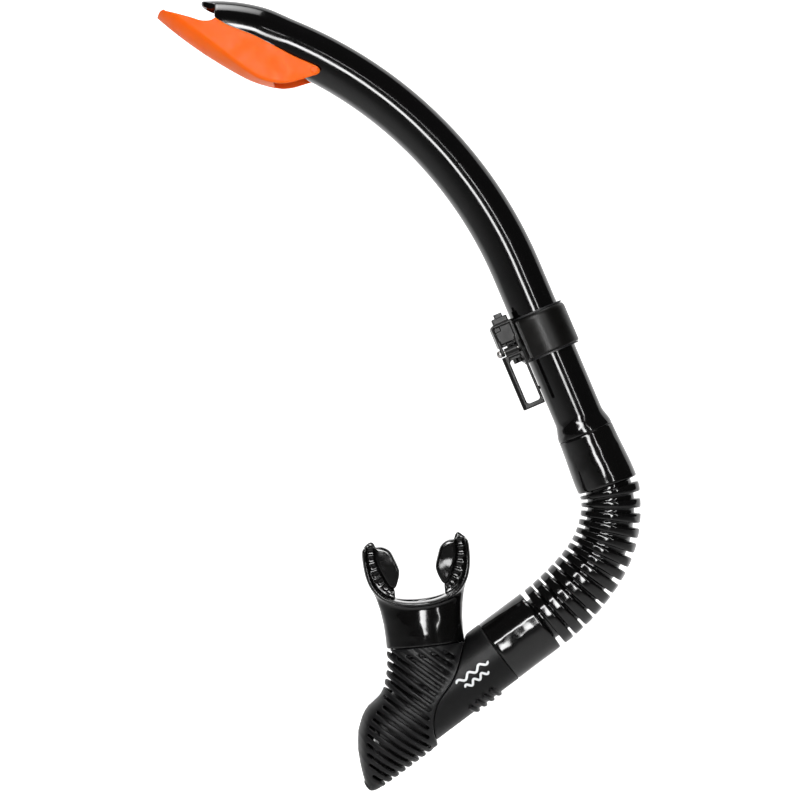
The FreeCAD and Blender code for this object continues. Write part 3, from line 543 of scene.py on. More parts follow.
def guard_mesh():
    """Open boat-shaped hood with thin walls, a rounded keel and a drain gap behind it."""
    g = plane_grid((-195.5, 0, 150), (-104.5, 15, 196), 0.36)
    x, y = g.x, g.y
    outline = [(-196, 150), (-196, 189.6), (-192.4, 190.6), (-190.6, 192.6), (-188.6, 193.4)]
    for stretch in (GUARD_EDGE[:7], GUARD_EDGE[7:]):
        outline += [tuple(p) for p in spline(stretch, 30)]
    outline += [(-109.0, 163.7), (-107.4, 162.6), (-106.7, 161.2), (-107.2, 159.8), (-108.6, 159.0),
                (-121.0, 155.1), (-131.5, 153.0), (-131.5, 150)]
    profile = g.polygon(outline)
    r = g.lift(np.hypot(g.flat_x - KEEL_CENTRE[0], g.flat_z - KEEL_CENTRE[1]))

    def hull(inset):
        """The hood's solid outer form, or its inner form at an inset."""
        half = GUARD_HALF - inset
        sag = KEEL_SAG * (y / GUARD_HALF) ** 2 * (1 - 0.8 * smoothstep(x, -172, -128))
        bottom = common(r - (KEEL_R - inset - sag), KEEL_LOW + inset - g.z, 5.0)
        front = BOW_X + inset * 0.5
        reach = BOW_LENGTH - inset
        bow = np.where(x < front, half * np.sqrt(np.clip(1 - ((front - x) / reach) ** 2, 0, 1)), half)
        past = np.maximum(0, (front - reach) - x)
        side = (y - bow) / (1 + 0.5 * (x < front)) + past
        return common(bottom, side, 1.9)

    gap = np.maximum(DRAIN_X - x, y - (GUARD_HALF - GUARD_WALL))
    shell = cut(hull(0.0), union(hull(GUARD_WALL), gap), 0.35)
    shell = common(shell, profile, 0.7)
    from_pin = g.lift(np.hypot(g.flat_x - GUARD_PIN[0], g.flat_z - GUARD_PIN[1]))
    ring = common(np.abs(from_pin - PIN_RING_R) - 0.35, np.abs(y - GUARD_HALF) - 0.28, 0.2)
    shell = union(shell, ring, 0.25)
    shell = cut(shell, np.hypot(from_pin, y - GUARD_HALF - 0.5) - 1.0, 0.2)
    return g.mesh("SplashGuard", shell)


# ---- hose

RING_COUNT = 13
FIRST_RING_S = 4.0
RING_PITCH = 6.27
CORE_R = 12.3
HOSE_BORE_R = 9.75
CUFF_TOP_R = 14.95
CUFF_END_R = 16.1
CUFF_BORE_R = 13.5
LOWER_BORE_R = 14.75
LOWER_R = 17.6
FIRST_RING_R = 15.9
UPPER_RING_R = 15.38
LOWER_RING_R = 17.6
RING_GAP = 0.22
RING_HALF_LENGTHS = (1.9, 2.8)


def hose_profile():
    """Length along the hose and radius of its outside, from the upper cuff to the lower one."""
    top = BELL_END_U - HOSE_START_U
    rows = [(top + 0.05, CUFF_TOP_R - 0.7), (top + 0.1, CUFF_TOP_R - 0.3), (top + 0.35, CUFF_TOP_R)]
    for f in np.linspace(0, 1, 25)[1:]:
        growth = (CUFF_END_R - CUFF_TOP_R) * smoothstep(f, 0, 0.9)
        rows.append((top + 0.35 + (-0.75 - top) * f, CUFF_TOP_R + growth))
    rows += [(-0.25, CUFF_END_R - 0.12), (-0.02, CUFF_END_R - 0.45), (0.1, CUFF_END_R - 1.2),
             (0.2, CORE_R + 0.5), (0.5, CORE_R + 0.05)]
    for i in range(RING_COUNT):
        s = FIRST_RING_S + i * RING_PITCH
        share = min(1.0, i / (RING_COUNT - 1) * 1.25)
        r = UPPER_RING_R + (LOWER_RING_R - UPPER_RING_R) * share if i else FIRST_RING_R
        turn = (soft_heading(s + RING_PITCH / 2) - soft_heading(s - RING_PITCH / 2)) * DEG
        shortest, longest = RING_HALF_LENGTHS
        h = min(longest, max(shortest, (RING_PITCH - (r - 0.6) * turn - RING_GAP) / 2))
        flank = [(-h - 0.5, CORE_R), (-h - 0.12, CORE_R + 0.12), (-h, CORE_R + 0.6), (-h + 0.06, r - 0.7),
                 (-h + 0.2, r - 0.25), (-h + 0.55, r), (-h + 1.4, r + 0.03)]
        rows += [(s + d, q) for d, q in flank] + [(s, r + 0.05)] + [(s - d, q) for d, q in reversed(flank)]
    end = HOSE_LENGTH + 0.8
    rows += [(end - 0.9, CORE_R), (end - 0.6, CORE_R + 0.3), (end - 0.5, LOWER_R - 1.0),
             (end - 0.35, LOWER_R - 0.35), (end, LOWER_R)]
    seam = HOSE_LENGTH + LOWER_CUFF
    for k in range(1, 20):
        rows.append((end + (seam - 0.5 - end) * k / 19, LOWER_R))
    rows += [(seam - 0.2, LOWER_R - 0.1), (seam - 0.08, LOWER_R - 0.35), (seam - 0.06, LOWER_R - 1.2)]
    return rows


def soft_heading(s):
    """Heading of the hose at s, evened out over a few millimetres so that its fins don't meet."""
    offsets = np.linspace(-12, 12, 25)
    weights = np.exp(-(offsets / 6.0) ** 2)
    return float((np.array([hose_at(s + o)[1] for o in offsets]) * weights).sum() / weights.sum())


def hose_mesh():
    """Soft hose with smooth cuffs and separate fins, one closed skin with its bore."""
    columns = 112
    angle = np.linspace(0, 2 * math.pi, columns, endpoint=False)
    inner = [(HOSE_LENGTH + LOWER_CUFF - 0.06, LOWER_BORE_R), (HOSE_LENGTH + 6.0, LOWER_BORE_R),
             (HOSE_LENGTH + 5.9, HOSE_BORE_R)]
    inner += [(s, HOSE_BORE_R) for s in np.arange(HOSE_LENGTH, -4.0, -4.0)]
    inner += [(-4.5, HOSE_BORE_R), (-4.6, CUFF_BORE_R), (BELL_END_U - HOSE_START_U + 0.05, CUFF_BORE_R)]
    rows = []
    for s, r in hose_profile() + inner:
        centre, _ = hose_at(s)
        out = heading_axes(soft_heading(s))[1]
        rows.append(centre + r * (np.cos(angle)[:, None] * out + np.sin(angle)[:, None] * Y))
    faces = ring_faces(len(rows), columns, wrap_rows=True)
    return make_object("FlexHose", np.concatenate(rows), faces, sharp_deg=50)


# ---- lower body and cover

SPLIT = [(-34, -46), (-4, -27), (10.4, -16), (26.2, -4.4), (41.7, 1.5), (50.5, 10), (54.6, 19.5), (57.0, 28)]
SLOT_SLANT = 34.0 * DEG
SLOT_ALONG = np.array([math.cos(SLOT_SLANT), 0, -math.sin(SLOT_SLANT)])
SLOT_ACROSS = np.array([-math.sin(SLOT_SLANT), 0, -math.cos(SLOT_SLANT)])
SLOT_ORIGIN = np.array([-39.7, 0, -143.0])
SLOT_PITCH = 4.147
SLOT_HALF = 0.72
SLOT_ENDS = ((-3.2, 3.4), (-8.1, 4.4), (-13.0, 5.2), (-17.8, 5.3), (-40, 5.4), (-40, 5.7), (-40, 6.4),
             (-40, 8.0), (-40, 10.0), (-15.5, 12.6), (-13.4, 15.5), (-14.4, 19.0), (-14.3, 60), (-13.7, 60),
             (-12.0, 60), (-9.5, 60), (-6.4, 60), (-2.5, 60), (2.5, 60))
CHAMBER_R = 15.9
SOCKET_R = 15.05
CHAMBER_BORE_R = 14.0
CHAMBER_END_X = -76.0
COVER_WALL = 1.6
RIB_BULGE = 0.21
RIDGE_COUNT = 4
RIDGE_PITCH = 4.75
RIDGE_R = 1.3
VALVE_Z = -190.0
VALVE_HOLE_R = 12.7


def split_polygon():
    """Outline, in x and z, of everything on the hose's side of the S-shaped parting line."""
    line = [lower_at(e, m) for e, m in spline(SPLIT, 90)]
    line += [lower_at(57, 60), lower_at(-60, 60), lower_at(-60, -60)]
    return [(p[0], p[2]) for p in line]


def main_shell(g, inset):
    """The cover's main shell along the lower axis, with its slanted round end."""
    e = g.coordinate(LOWER_ORIGIN, ALONG)
    m = g.coordinate(LOWER_ORIGIN, UNDER)
    e_knots = [0, 10, 30, 46, 60, 66, 72, 75, 78, 81, 84, 87, 90, 93, 95, 97]
    bottom = [17.9, 17.9, 18.6, 19.7, 20.3, 20.3, 20.3, 20.3, 20.3, 20.3, 20.3, 20.2, 20.1, 19.9, 19.6, 19.0]
    top = [-17.9, -17.9, -18.3, -19.2, -19.3, -19.0, -18.4, -17.4,
           -15.8, -13.6, -11.2, -7.5, -3.4, 2.3, 6.6, 11.5]
    depth = [17.9, 17.9, 18.4, 19.3, 19.45, 19.45, 19.3, 19.0, 18.5, 17.6, 16.3, 14.7, 12.6, 9.9, 7.6, 4.9]
    shift = e + inset * 1.1
    bottom_e = np.interp(shift, e_knots, bottom) - inset
    top_e = np.interp(shift, e_knots, top) + inset
    depth_e = np.interp(shift, e_knots, depth) - inset
    middle = (bottom_e + top_e) / 2
    half = np.maximum((bottom_e - top_e) / 2, 0.5)
    f = oval_field(m - middle, g.y, half, np.maximum(depth_e, 0.5))
    return true_distance(common(f, e - (98.2 - inset), 2.5), g.step)


def neck_field(g, inset):
    """Oval neck between the chamber and the mouthpiece's port."""
    a = g.coordinate(PORT_ORIGIN, PORT_UP)
    b = g.coordinate(PORT_ORIGIN, PORT_ACROSS) - MOUTH_CENTRE_B
    a_knots = [-30, -26, -22, -18, -14, -10, -5, 0, 6]
    left = [-27.5, -26.3, -25.0, -23.6, -22.3, -21.3, -20.7, -20.5, -20.5]
    right = [19.0, 19.4, 19.8, 20.0, 20.2, 20.3, 20.4, 20.5, 20.5]
    depth = [18.6, 18.2, 17.6, 16.9, 16.2, 15.5, 14.7, 13.9, 13.6]
    low = np.interp(a, a_knots, left) + inset
    high = np.interp(a, a_knots, right) - inset
    oval = oval_field(b - (low + high) / 2, g.y, (high - low) / 2, np.interp(a, a_knots, depth) - inset)
    return common(oval, -a - (24.0 - inset), 3.0)


def slot_field(g):
    """Slots through the cover, from their centre lines and ends."""
    along = g.coordinate(SLOT_ORIGIN, SLOT_ALONG)
    across = g.coordinate(SLOT_ORIGIN, SLOT_ACROSS)
    best = None
    for index, (start, end) in enumerate(SLOT_ENDS):
        low, high = (start, -SLOT_HALF, None), (end, SLOT_HALF, None)
        f = block_field(along, across - SLOT_PITCH * index, None, low, high, 0.6)
        best = f if best is None else np.minimum(best, f)
    return best


def cover_mesh():
    """Slotted shell over the chamber, its ribs round at the outside and its rims soft."""
    g = plane_grid((-87.5, 0, -219.5), (-27, 20.6, -136.5), 0.4)
    outer = union(main_shell(g, 0.0), neck_field(g, 0.0), 3.0)
    inner = union(main_shell(g, COVER_WALL), neck_field(g, COVER_WALL), 3.0)
    across = g.coordinate(SLOT_ORIGIN, SLOT_ACROSS)
    along = g.coordinate(SLOT_ORIGIN, SLOT_ALONG)
    bulge = RIB_BULGE * np.cos(2 * math.pi * (across / SLOT_PITCH - 0.5))
    wraps = np.maximum(1 - smoothstep(across, 31, 35), smoothstep(along, 2.0, 7.0))
    bulge = bulge * wraps * smoothstep(across, -2.0, 2.0) * (1 - smoothstep(across, 76, 80))
    side = g.polygon(split_polygon())
    shell = cut(outer - bulge * smoothstep(side, 1.0, 4.0), inner, 0.4)
    shell = cut(shell, slot_field(g), 0.55)
    shell = common(shell, g.coordinate(PORT_ORIGIN, PORT_UP) + 0.25, 0.4)
    shell = cut(shell, side - 0.22, 0.5)
    return g.mesh("RibbedCover", shell)


def body_mesh():
    """Smooth sleeve, hidden chamber, neck and valve plate, with the finger ridges under it."""
    g = plane_grid((-87, 0, -217), (4, 19.2, -122), 0.42)
    e = g.coordinate(LOWER_ORIGIN, ALONG)
    m = g.coordinate(LOWER_ORIGIN, UNDER)
    a = g.coordinate(PORT_ORIGIN, PORT_UP)
    x = g.lift(g.flat_x)
    radius = np.hypot(m, g.y)
    side = g.polygon(split_polygon())
    sleeve = common(common(radius - LOWER_R, side, 0.5), -e + 0.08, 0.5)
    chamber = np.maximum(np.maximum(radius - CHAMBER_R, -e + 0.1), -(x - CHAMBER_END_X))
    lining = np.maximum(main_shell(g, 2.9), -side)
    chamber = np.minimum(chamber, lining)
    neck = np.maximum(neck_field(g, 3.2), a + 5.6)
    neck = np.minimum(neck, np.maximum(neck_field(g, 5.0), a - 11.8))
    shape = union(union(sleeve, chamber), neck, 1.5)
    along = g.coordinate(SLOT_ORIGIN, SLOT_ALONG)
    across = g.coordinate(SLOT_ORIGIN, SLOT_ACROSS)
    for index in range(RIDGE_COUNT):
        centre = lower_at(13.2 + RIDGE_PITCH * index, 18.0)
        c = float((centre - SLOT_ORIGIN) @ SLOT_ACROSS)
        start = float((centre - SLOT_ORIGIN) @ SLOT_ALONG)
        bar = np.hypot(np.maximum(radius - 17.8, 0), across - c) - RIDGE_R
        bar = common(bar, (start - 6.5 + index * 0.4) - along, 1.2)
        shape = union(shape, np.maximum(bar, 8.6 - m), 0.5)
    bore = np.maximum(np.maximum(radius - CHAMBER_BORE_R, -(x - CHAMBER_END_X - 2.5)), -e - 1)
    socket = np.maximum(radius - SOCKET_R, e - 15.0)
    port = np.maximum(neck_field(g, 7.0), -a - 26)
    hole = np.maximum(np.hypot(g.lift(g.flat_z - VALVE_Z), g.y) - VALVE_HOLE_R, np.abs(x + 74) - 3.2)
    skirt = np.maximum(main_shell(g, 4.4), x - CHAMBER_END_X)
    inside = union(union(union(union(bore, socket), port), hole), skirt)
    obj = g.mesh("LowerBody", cut(shape, inside, 0.3))
    covered = np.array([tuple(p.center) for p in obj.data.polygons]) * 1000
    hidden = polygon_field(split_polygon(), covered[:, 0], covered[:, 2]) > 0.3
    obj.data.polygons.foreach_set("material_index", hidden.astype(int))
    return obj


# ---- mouthpiece

TOOTH_POCKETS = 7
LUG_HALF = 6.5


def mouthpiece_mesh():
    """Soft mouthpiece: oval sleeve, curved lip shield, ribbed bite plates and upright lugs."""
    g = Grid(port_at(0, 0), PORT_ACROSS, PORT_UP, (-30, 0, -7), (30, 17.4, 59), 0.42)
    b, y, a = g.x, g.y, g.z
    flat_b, flat_a = g.flat_x, g.flat_z

    knots_a = [-1, 0, 6, 12.5, 20, 25, 30, 36]
    half = np.interp(a, knots_a, [20.4, 20.5, 20.55, 20.8, 21.8, 22.9, 24.3, 25.8])
    depth = np.interp(a, knots_a, [13.6, 13.6, 13.5, 13.1, 12.4, 11.9, 11.4, 11.0])
    sleeve = oval_field(b, y, half, depth)
    sleeve = common(sleeve, 0.12 - a, 0.5)

    left = [(-27.0, 90), (-27.0, 60), (-27.5, 54.5), (-28.2, 50), (-28.0, 43), (-27.0, 37), (-25.0, 32),
            (-21.0, 27), (-15.5, 23.9), (-8.0, 21.8)]
    outer = spline(left + [(0, 21.2)] + [(-p, q) for p, q in reversed(left)], 160)
    bowl = g.polygon(outer)
    band = np.abs(bowl + 1.1) - 1.1
    reach = oval_field(b, y, 33.5, 16.6)
    shield = common(common(band, reach, 1.6), a - 54.0, 2.0)
    sleeve = common(sleeve, -(bowl + 0.9), 0.8)
    tail = np.maximum(oval_field(b, y, 17.0, 10.3), a - 1.0)
    shape = union(union(sleeve, shield, 2.2), tail)

    for side in (-1, 1):
        tip = 57.0 if side > 0 else 56.4
        plate = [(27.2, 51.5), (25.6, 55.0), (23.2, tip), (21.4, 55.4), (20.4, 51.5), (18.9, 45.0),
                 (16.3, 38.2), (12.6, 32.0), (10.6, 29.0), (12.5, 24.5), (19.0, 25.0), (25.0, 32.0),
                 (27.4, 42.0)]
        plate = spline([(side * p, q) for p, q in plate + plate[:1]], 80)
        plate = extrude_field(g.polygon(plate), y, 1.75 + 1.1 * smoothstep(a, 50.5, 54.0), 0.9)
        middle = [(23.6, 53), (23.4, 46), (21.6, 39), (18.0, 33), (14.6, 29.6)]
        middle = spline([(side * p, q) for p, q in middle], 90)
        pocket = None
        for share in np.linspace(0.06, 0.94, TOOTH_POCKETS):
            i = int(share * 89)
            p = middle[i]
            t = middle[min(i + 1, 89)] - middle[max(i - 1, 0)]
            t = t / np.hypot(*t)
            along = (flat_b - p[0]) * t[0] + (flat_a - p[1]) * t[1]
            over = (flat_b - p[0]) * -t[1] + (flat_a - p[1]) * t[0]
            f = block_field(along, over, None, (-1.35, -1.9, None), (1.35, 1.9, None), 0.6)
            pocket = f if pocket is None else np.minimum(pocket, f)
        pocket = np.maximum(g.lift(pocket), 1.0 - y)
        plate = cut(plate, pocket, 0.45)
        lug = [(21.4, 53.4), (18.4, 53.6), (15.4, 52.5), (13.1, 50.3), (11.3, 45.6), (9.8, 41.2), (9.6, 38.6),
               (11.0, 34.4), (12.8, 31.4), (15.6, 32.2), (19.2, 40.0), (21.4, 47.0)]
        lug = spline([(side * p, q) for p, q in lug + lug[:1]], 70)
        upright = extrude_field(g.polygon(lug), y, LUG_HALF, 1.3)
        shape = union(shape, union(plate, upright, 0.8), 0.9)
    socket = np.maximum(oval_field(b, y, 15.65, 8.95), a - 12.0)
    passage = np.maximum(oval_field(b, y, 13.2, 7.0), 11.0 - a)
    shape = cut(cut(shape, socket, 0.2), passage, 1.0)
    return g.mesh("Mouthpiece", shape)


# ---- keeper

PIN_U = -17.3
PIN_Y = -10.5
SLOT_HALF_WIDTH = 3.75


class SideGrid(Grid):
    """A grid in the barrel's straight frame (v, y, u) that isn't mirrored."""

    def __init__(self, low, high, step):
        Grid.__init__(self, barrel_at(0), OUT, DOWN, low, high, step)
        self.low = np.array(low, float)
        self.y = np.arange(low[1], high[1] + step, step)[None, :, None]

    def mesh(self, name, f):
        """The field's zero surface as an object."""
        shape = (self.x.shape[0], self.y.shape[1], self.z.shape[2])
        points, quads = surface_nets(np.broadcast_to(f, shape), self.low, self.step)
        return make_object(name, self.to_plane(points), quads[:, ::-1])


def slab(g, u, v, y, r=0.0):
    """Rounded block in the barrel's frame, from pairs of limits."""
    return block_field(g.x, g.y, g.z, (v[0], y[0], u[0]), (v[1], y[1], u[1]), r)


def collar_mesh():
    """Turning ring with a chamfered top, a round bottom edge, edge ribs and the T rail."""
    g = SideGrid((-21.5, -16.6, -31.4), (16.8, 16.6, -7.2), 0.36)
    v, y, u = g.x, g.y, g.z
    r = np.hypot(v, y)
    shape = block_field(r, u, None, (12.0, -30.4, None), (16.0, -8.4, None), 0.9)
    shape = common(shape, (r - 16.0) * 0.80 + (-29.1 - u) * 0.6, 0.9)
    for side in (-1, 1):
        low, high = sorted((side * 8.6, side * 12.3))
        shape = union(shape, slab(g, (-29.8, -8.6), (-12.4, -10.6), (low, high), 0.5), 0.3)
    shape = union(shape, slab(g, (-29.2, -9.6), (-18.8, -14.0), (-2.0, 2.0), 0.3), 0.3)
    shape = union(shape, slab(g, (-29.2, -9.6), (-20.2, -18.2), (-4.0, 4.0), 0.3), 0.2)
    shape = cut(shape, r - 14.36, 0.2)
    return g.mesh("KeeperCollar", shape)


def clip_mesh():
    """Release clip: a recessed block round the rail, two ears for the pin and a raised guide."""
    g = SideGrid((-25.8, -13.2, -36.2), (-11.6, 13.2, -14.6), 0.21)
    v, y, u = g.x, g.y, g.z
    from_pin = np.hypot(u - PIN_U, y - PIN_Y)
    shape = slab(g, (-32.5, -20.0), (-25.0, -12.6), (-12.4, 12.4), 1.0)
    shape = common(shape, (-24.4 - v) * 0.7 + (-31.9 - u) * 0.7 - 0.1, 0.5)
    shape = union(shape, slab(g, (-35.5, -31.5), (-23.0, -14.6), (-10.4, -3.0), 0.6), 0.5)
    recesses = (((-31.0, -21.6), (-23.8, -14.8), -11.75, 0.3), ((-31.0, -28.4), (-23.8, -20.6), -11.2, 0.2),
                ((-21.7, -18.8), (-23.2, -14.0), -9.0, 0.2))
    for along, across, depth, r in recesses:
        shape = cut(shape, slab(g, along, across, (-16.0, depth), r), 0.2 + r / 2)
    shape = union(shape, slab(g, (-21.2, -20.2), (-20.6, -17.0), (-11.6, -8.6), 0.25), 0.1)
    for low, high in ((-25.0, -23.3), (-15.4, -14.0)):
        ear = slab(g, (-23.5, PIN_U), (low, high), (PIN_Y - 1.9, PIN_Y + 1.9), 0.25)
        across = np.abs(v - (low + high) / 2) - (high - low) / 2
        shape = union(shape, union(ear, np.maximum(from_pin - 1.9, across)), 0.3)
    shape = cut(shape, np.hypot(v, y) - 16.2, 0.2)
    shape = cut(shape, slab(g, (-50, 0), (-19.0, -10.0), (-2.2, 2.2)), 0.1)
    shape = cut(shape, slab(g, (-50, 0), (-20.4, -18.0), (-4.2, 4.2)), 0.1)
    shape = cut(shape, slab(g, (-40, -24.3), (-21.1, -16.5), (-8.45, -4.85)), 0.1)
    shape = cut(shape, from_pin - 1.02, 0.1)
    return g.mesh("ReleaseClip", shape)


def latch_mesh():
    """Push button in the clip's guide, its top ribbed for the thumb."""
    g = SideGrid((-22.8, -8.8, -38.0), (-16.2, -4.5, -26.0), 0.16)
    shape = slab(g, (-37.6, -26.6), (-21.0, -16.6), (-8.3, -5.0), 0.45)
    shape = union(shape, slab(g, (-30.5, -26.5), (-22.4, -16.6), (-8.3, -5.0), 0.2), 0.1)
    for v0 in (-19.9, -18.8, -17.7):
        shape = cut(shape, np.hypot(g.x - v0, g.z + 37.75) - 0.32, 0.1)
    return g.mesh("ReleaseLatch", shape)


def buckle_mesh():
    """Strap loop with bevelled arms, a recessed top bar and the knuckle that swings on the pin."""
    g = SideGrid((-26.6, -12.9, -19.8), (-12.6, -8.1, 15.4), 0.2)
    v, y, u = g.x, g.y, g.z
    shape = slab(g, (-15.0, 14.6), (-25.7, -13.7), (PIN_Y - 1.7, PIN_Y + 1.7), 0.55)
    shape = common(shape, (-24.75 - v) * 0.62 + (-11.75 - y) * 0.78, 0.15)
    window = (-AXIS_TO_SLOT - SLOT_HALF_WIDTH, -AXIS_TO_SLOT + SLOT_HALF_WIDTH)
    window = slab(g, (-12.1, 12.1), window, (-20, 0), 1.6)
    shape = cut(shape, window, 0.6)
    shape = cut(shape, slab(g, (-13.9, -12.0), (-22.2, -15.9), (-14, PIN_Y - 0.7), 0.5), 0.3)
    shape = cut(shape, slab(g, (7.6, 11.0), (-15.4, -14.6), (-14, PIN_Y - 0.6), 0.3), 0.3)
    shape = union(shape, slab(g, (5.6, 7.2), (-13.9, -12.9), (PIN_Y - 1.2, PIN_Y + 1.2), 0.3), 0.4)
    from_pin = np.hypot(u - PIN_U, y - PIN_Y)
    knuckle = np.maximum(from_pin - 1.9, np.abs(v + 19.3) - 3.6)
    link = slab(g, (PIN_U, -14.0), (-22.9, -15.7), (PIN_Y - 1.2, PIN_Y + 1.2), 0.3)
    shape = union(shape, union(knuckle, link, 0.3), 0.5)
    shape = cut(shape, from_pin - 1.06, 0.1)
    return g.mesh("StrapBuckle", shape)


def pin_mesh():
    """Hinge pin with a domed head, turned round its own axis."""
    profile = [(-14.0, 0.0), (-14.0, 0.8), (-14.2, 1.0), (-24.98, 1.0), (-25.02, 1.75), (-25.2, 1.95),
               (-25.6, 2.0), (-26.2, 1.93), (-26.8, 1.65), (-27.2, 1.2), (-27.4, 0.6), (-27.45, 0.0)]
    columns = 40
    angle = np.linspace(0, 2 * math.pi, columns, endpoint=False)
    rows = []
    for v, r in profile:
        r = max(r, 1e-3)
        around = np.cos(angle)[:, None] * DOWN + np.sin(angle)[:, None] * Y
        rows.append(barrel_at(PIN_U, v, PIN_Y) + r * around)
    faces = list(ring_faces(len(rows), columns))
    faces.append(range(columns))
    faces.append(range(columns * (len(rows) - 1), columns * len(rows)))
    return make_object("BuckleRivet", np.concatenate(rows), faces, sharp_deg=40)


WAVE_ROWS = ((7.0, 27.5), (10.0, 25.0))
WAVE_HEIGHT = 1.15
WAVE_TURNS = 3 * 2 * math.pi
WAVE_STEPS = 90
STROKE_HALF = 0.62


def print_mesh():
    """Thin raised print on the sleeve: two plain waves, one over the other."""
    points, faces = [], []
    for row, (start, end) in enumerate(WAVE_ROWS):
        base = len(points)
        for f in np.linspace(0, 1, WAVE_STEPS + 1):
            e = start + (end - start) * f
            m = -1.2 + 4.4 * row + WAVE_HEIGHT * math.sin(f * WAVE_TURNS)
            half = STROKE_HALF * min(1.0, math.sqrt(max(0.0, 32 * f * (1 - f))))
            slope = math.atan(WAVE_HEIGHT * WAVE_TURNS / (end - start) * math.cos(f * WAVE_TURNS))
            for radius in (LOWER_R - 0.05, LOWER_R + 0.07):
                for side in (-1, 1):
                    turn = (m + side * half * math.cos(slope)) / LOWER_R
                    q = e - side * half * math.sin(slope)
                    points.append(lower_at(q, radius * math.sin(turn), -radius * math.cos(turn)))
        for k in range(WAVE_STEPS):
            i, j = base + 4 * k, base + 4 * (k + 1)
            for a, b in ((0, 1), (3, 2), (2, 0), (1, 3)):
                faces.append((i + a, i + b, j + b, j + a))
        for i in (base, base + 4 * WAVE_STEPS):
            faces.append((i, i + 1, i + 3, i + 2))
    return make_object("PrintedWaves", points, faces, smooth=False)


MARK_S = 157.0
MARK_TURN = 0.12
DOT_R = 0.75
DOT_SIDES = 12


def mould_mark_mesh():
    """Small raised triangle and dot that the mould leaves on the barrel's side."""
    triangle = [(1.9, 0.0), (-1.2, 1.5), (-1.2, -1.5)]
    turns = [t * 2 * math.pi / DOT_SIDES for t in range(DOT_SIDES)]
    dot = [(-3.0 + DOT_R * math.cos(t), DOT_R * math.sin(t)) for t in turns]
    points, faces = [], []
    for outline in (triangle, dot):
        base, count = len(points), len(outline)
        for lift in (-0.15, 0.22):
            scale = 1.0 if lift < 0 else 0.8
            middle = np.mean(outline, 0)
            for p, q in outline:
                p, q = middle + (np.array([p, q]) - middle) * scale
                c, out, _ = barrel_path(np.array([MARK_S + p]))
                r = TUBE_R + lift
                angle = -math.pi / 2 + MARK_TURN + q / TUBE_R
                points.append(c[0] + out[0] * r * math.cos(angle) + Y * r * math.sin(angle))
        faces.append(tuple(base + k for k in range(count)))
        faces.append(tuple(base + count + k for k in range(count)))
        faces += [(base + k, base + (k + 1) % count, base + count + (k + 1) % count, base + count + k)
                  for k in range(count)]
    return make_object("MouldMark", points, faces, smooth=False)


# ---- materials

WAVE_DEPTH = 0.002
GRAIN_DEPTH = 0.00002


def set_inputs(node, values):
    """Sets a node's sockets by name."""
    for socket, value in values.items():
        node.inputs[socket].default_value = value


def node_material(name, base, rough, spec=0.5, grain=0.0, grain_scale=3000.0, wave=0.0, wave_scale=60.0,
                  tint=0.12, rough_var=0.25, subsurface=0.0, metallic=0.0):
    """Moulded material of softly varying colour and roughness, with fine grain and slow waves."""
    mat = bpy.data.materials.new(name)
    mat.use_nodes = True
    nodes, links = mat.node_tree.nodes, mat.node_tree.links
    bsdf = nodes["Principled BSDF"]
    set_inputs(bsdf, {"Specular IOR Level": spec, "Metallic": metallic})
    if subsurface:
        set_inputs(bsdf, {"Subsurface Weight": subsurface, "Subsurface Radius": (0.006, 0.0018, 0.0006),
                          "Subsurface Scale": 1.0})
    where = nodes.new("ShaderNodeTexCoord")

    def noise(scale, detail, roughness=0.5):
        """Noise node in the object's own coordinates."""
        n = nodes.new("ShaderNodeTexNoise")
        set_inputs(n, {"Scale": scale, "Detail": detail, "Roughness": roughness})
        links.new(where.outputs["Object"], n.inputs["Vector"])
        return n

    slow = noise(90.0, 4.0)
    ramp = nodes.new("ShaderNodeMix")
    ramp.data_type = "RGBA"
    darker = tuple(c * (1 - tint) for c in base) + (1,)
    lighter = tuple(min(1, c * (1 + tint)) for c in base) + (1,)
    set_inputs(ramp, {"A": darker, "B": lighter})
    links.new(slow.outputs["Fac"], ramp.inputs["Factor"])
    links.new(ramp.outputs["Result"], bsdf.inputs["Base Color"])
    smudge = noise(160.0, 6.0, 0.6)
    spread = nodes.new("ShaderNodeMapRange")
    set_inputs(spread, {"From Min": 0.3, "From Max": 0.7,
                        "To Min": rough * (1 - rough_var), "To Max": rough * (1 + rough_var)})
    links.new(smudge.outputs["Fac"], spread.inputs["Value"])
    links.new(spread.outputs["Result"], bsdf.inputs["Roughness"])
    normal = None
    layers = ((wave, wave_scale, WAVE_DEPTH, 1.0), (grain, grain_scale, GRAIN_DEPTH, 3.0))
    for strength, scale, distance, detail in layers:
        if strength <= 0:
            continue
        source = noise(scale, detail)
        bump = nodes.new("ShaderNodeBump")
        set_inputs(bump, {"Strength": strength, "Distance": distance})
        links.new(source.outputs["Fac"], bump.inputs["Height"])
        if normal:
            links.new(normal, bump.inputs["Normal"])
        normal = bump.outputs["Normal"]
    if normal:
        links.new(normal, bsdf.inputs["Normal"])
    return mat


BLACK_GLOSS = node_material("black_gloss", (0.0022, 0.0021, 0.0022), 0.11, grain=0.02, grain_scale=900,
                            wave=0.03, wave_scale=70)
SILICONE = node_material("black_silicone", (0.0025, 0.0024, 0.0024), 0.1, grain=0.05, grain_scale=1200,
                         wave=0.2, wave_scale=100)
MATTE_BODY = node_material("matte_body", (0.0022, 0.0022, 0.0024), 0.4, spec=0.22, grain=0.4,
                           grain_scale=4200, rough_var=0.12)
MATTE_COVER = node_material("matte_cover", (0.004, 0.004, 0.0043), 0.42, spec=0.25, grain=0.4,
                            grain_scale=4200, rough_var=0.15)
KEEPER = node_material("keeper_plastic", (0.003, 0.0027, 0.0024), 0.36, spec=0.3, grain=0.35,
                       grain_scale=3600, rough_var=0.2)
ORANGE = node_material("guard_orange", (0.94, 0.13, 0.002), 0.5, spec=0.18, grain=0.25, tint=0.04,
                       subsurface=0.3)
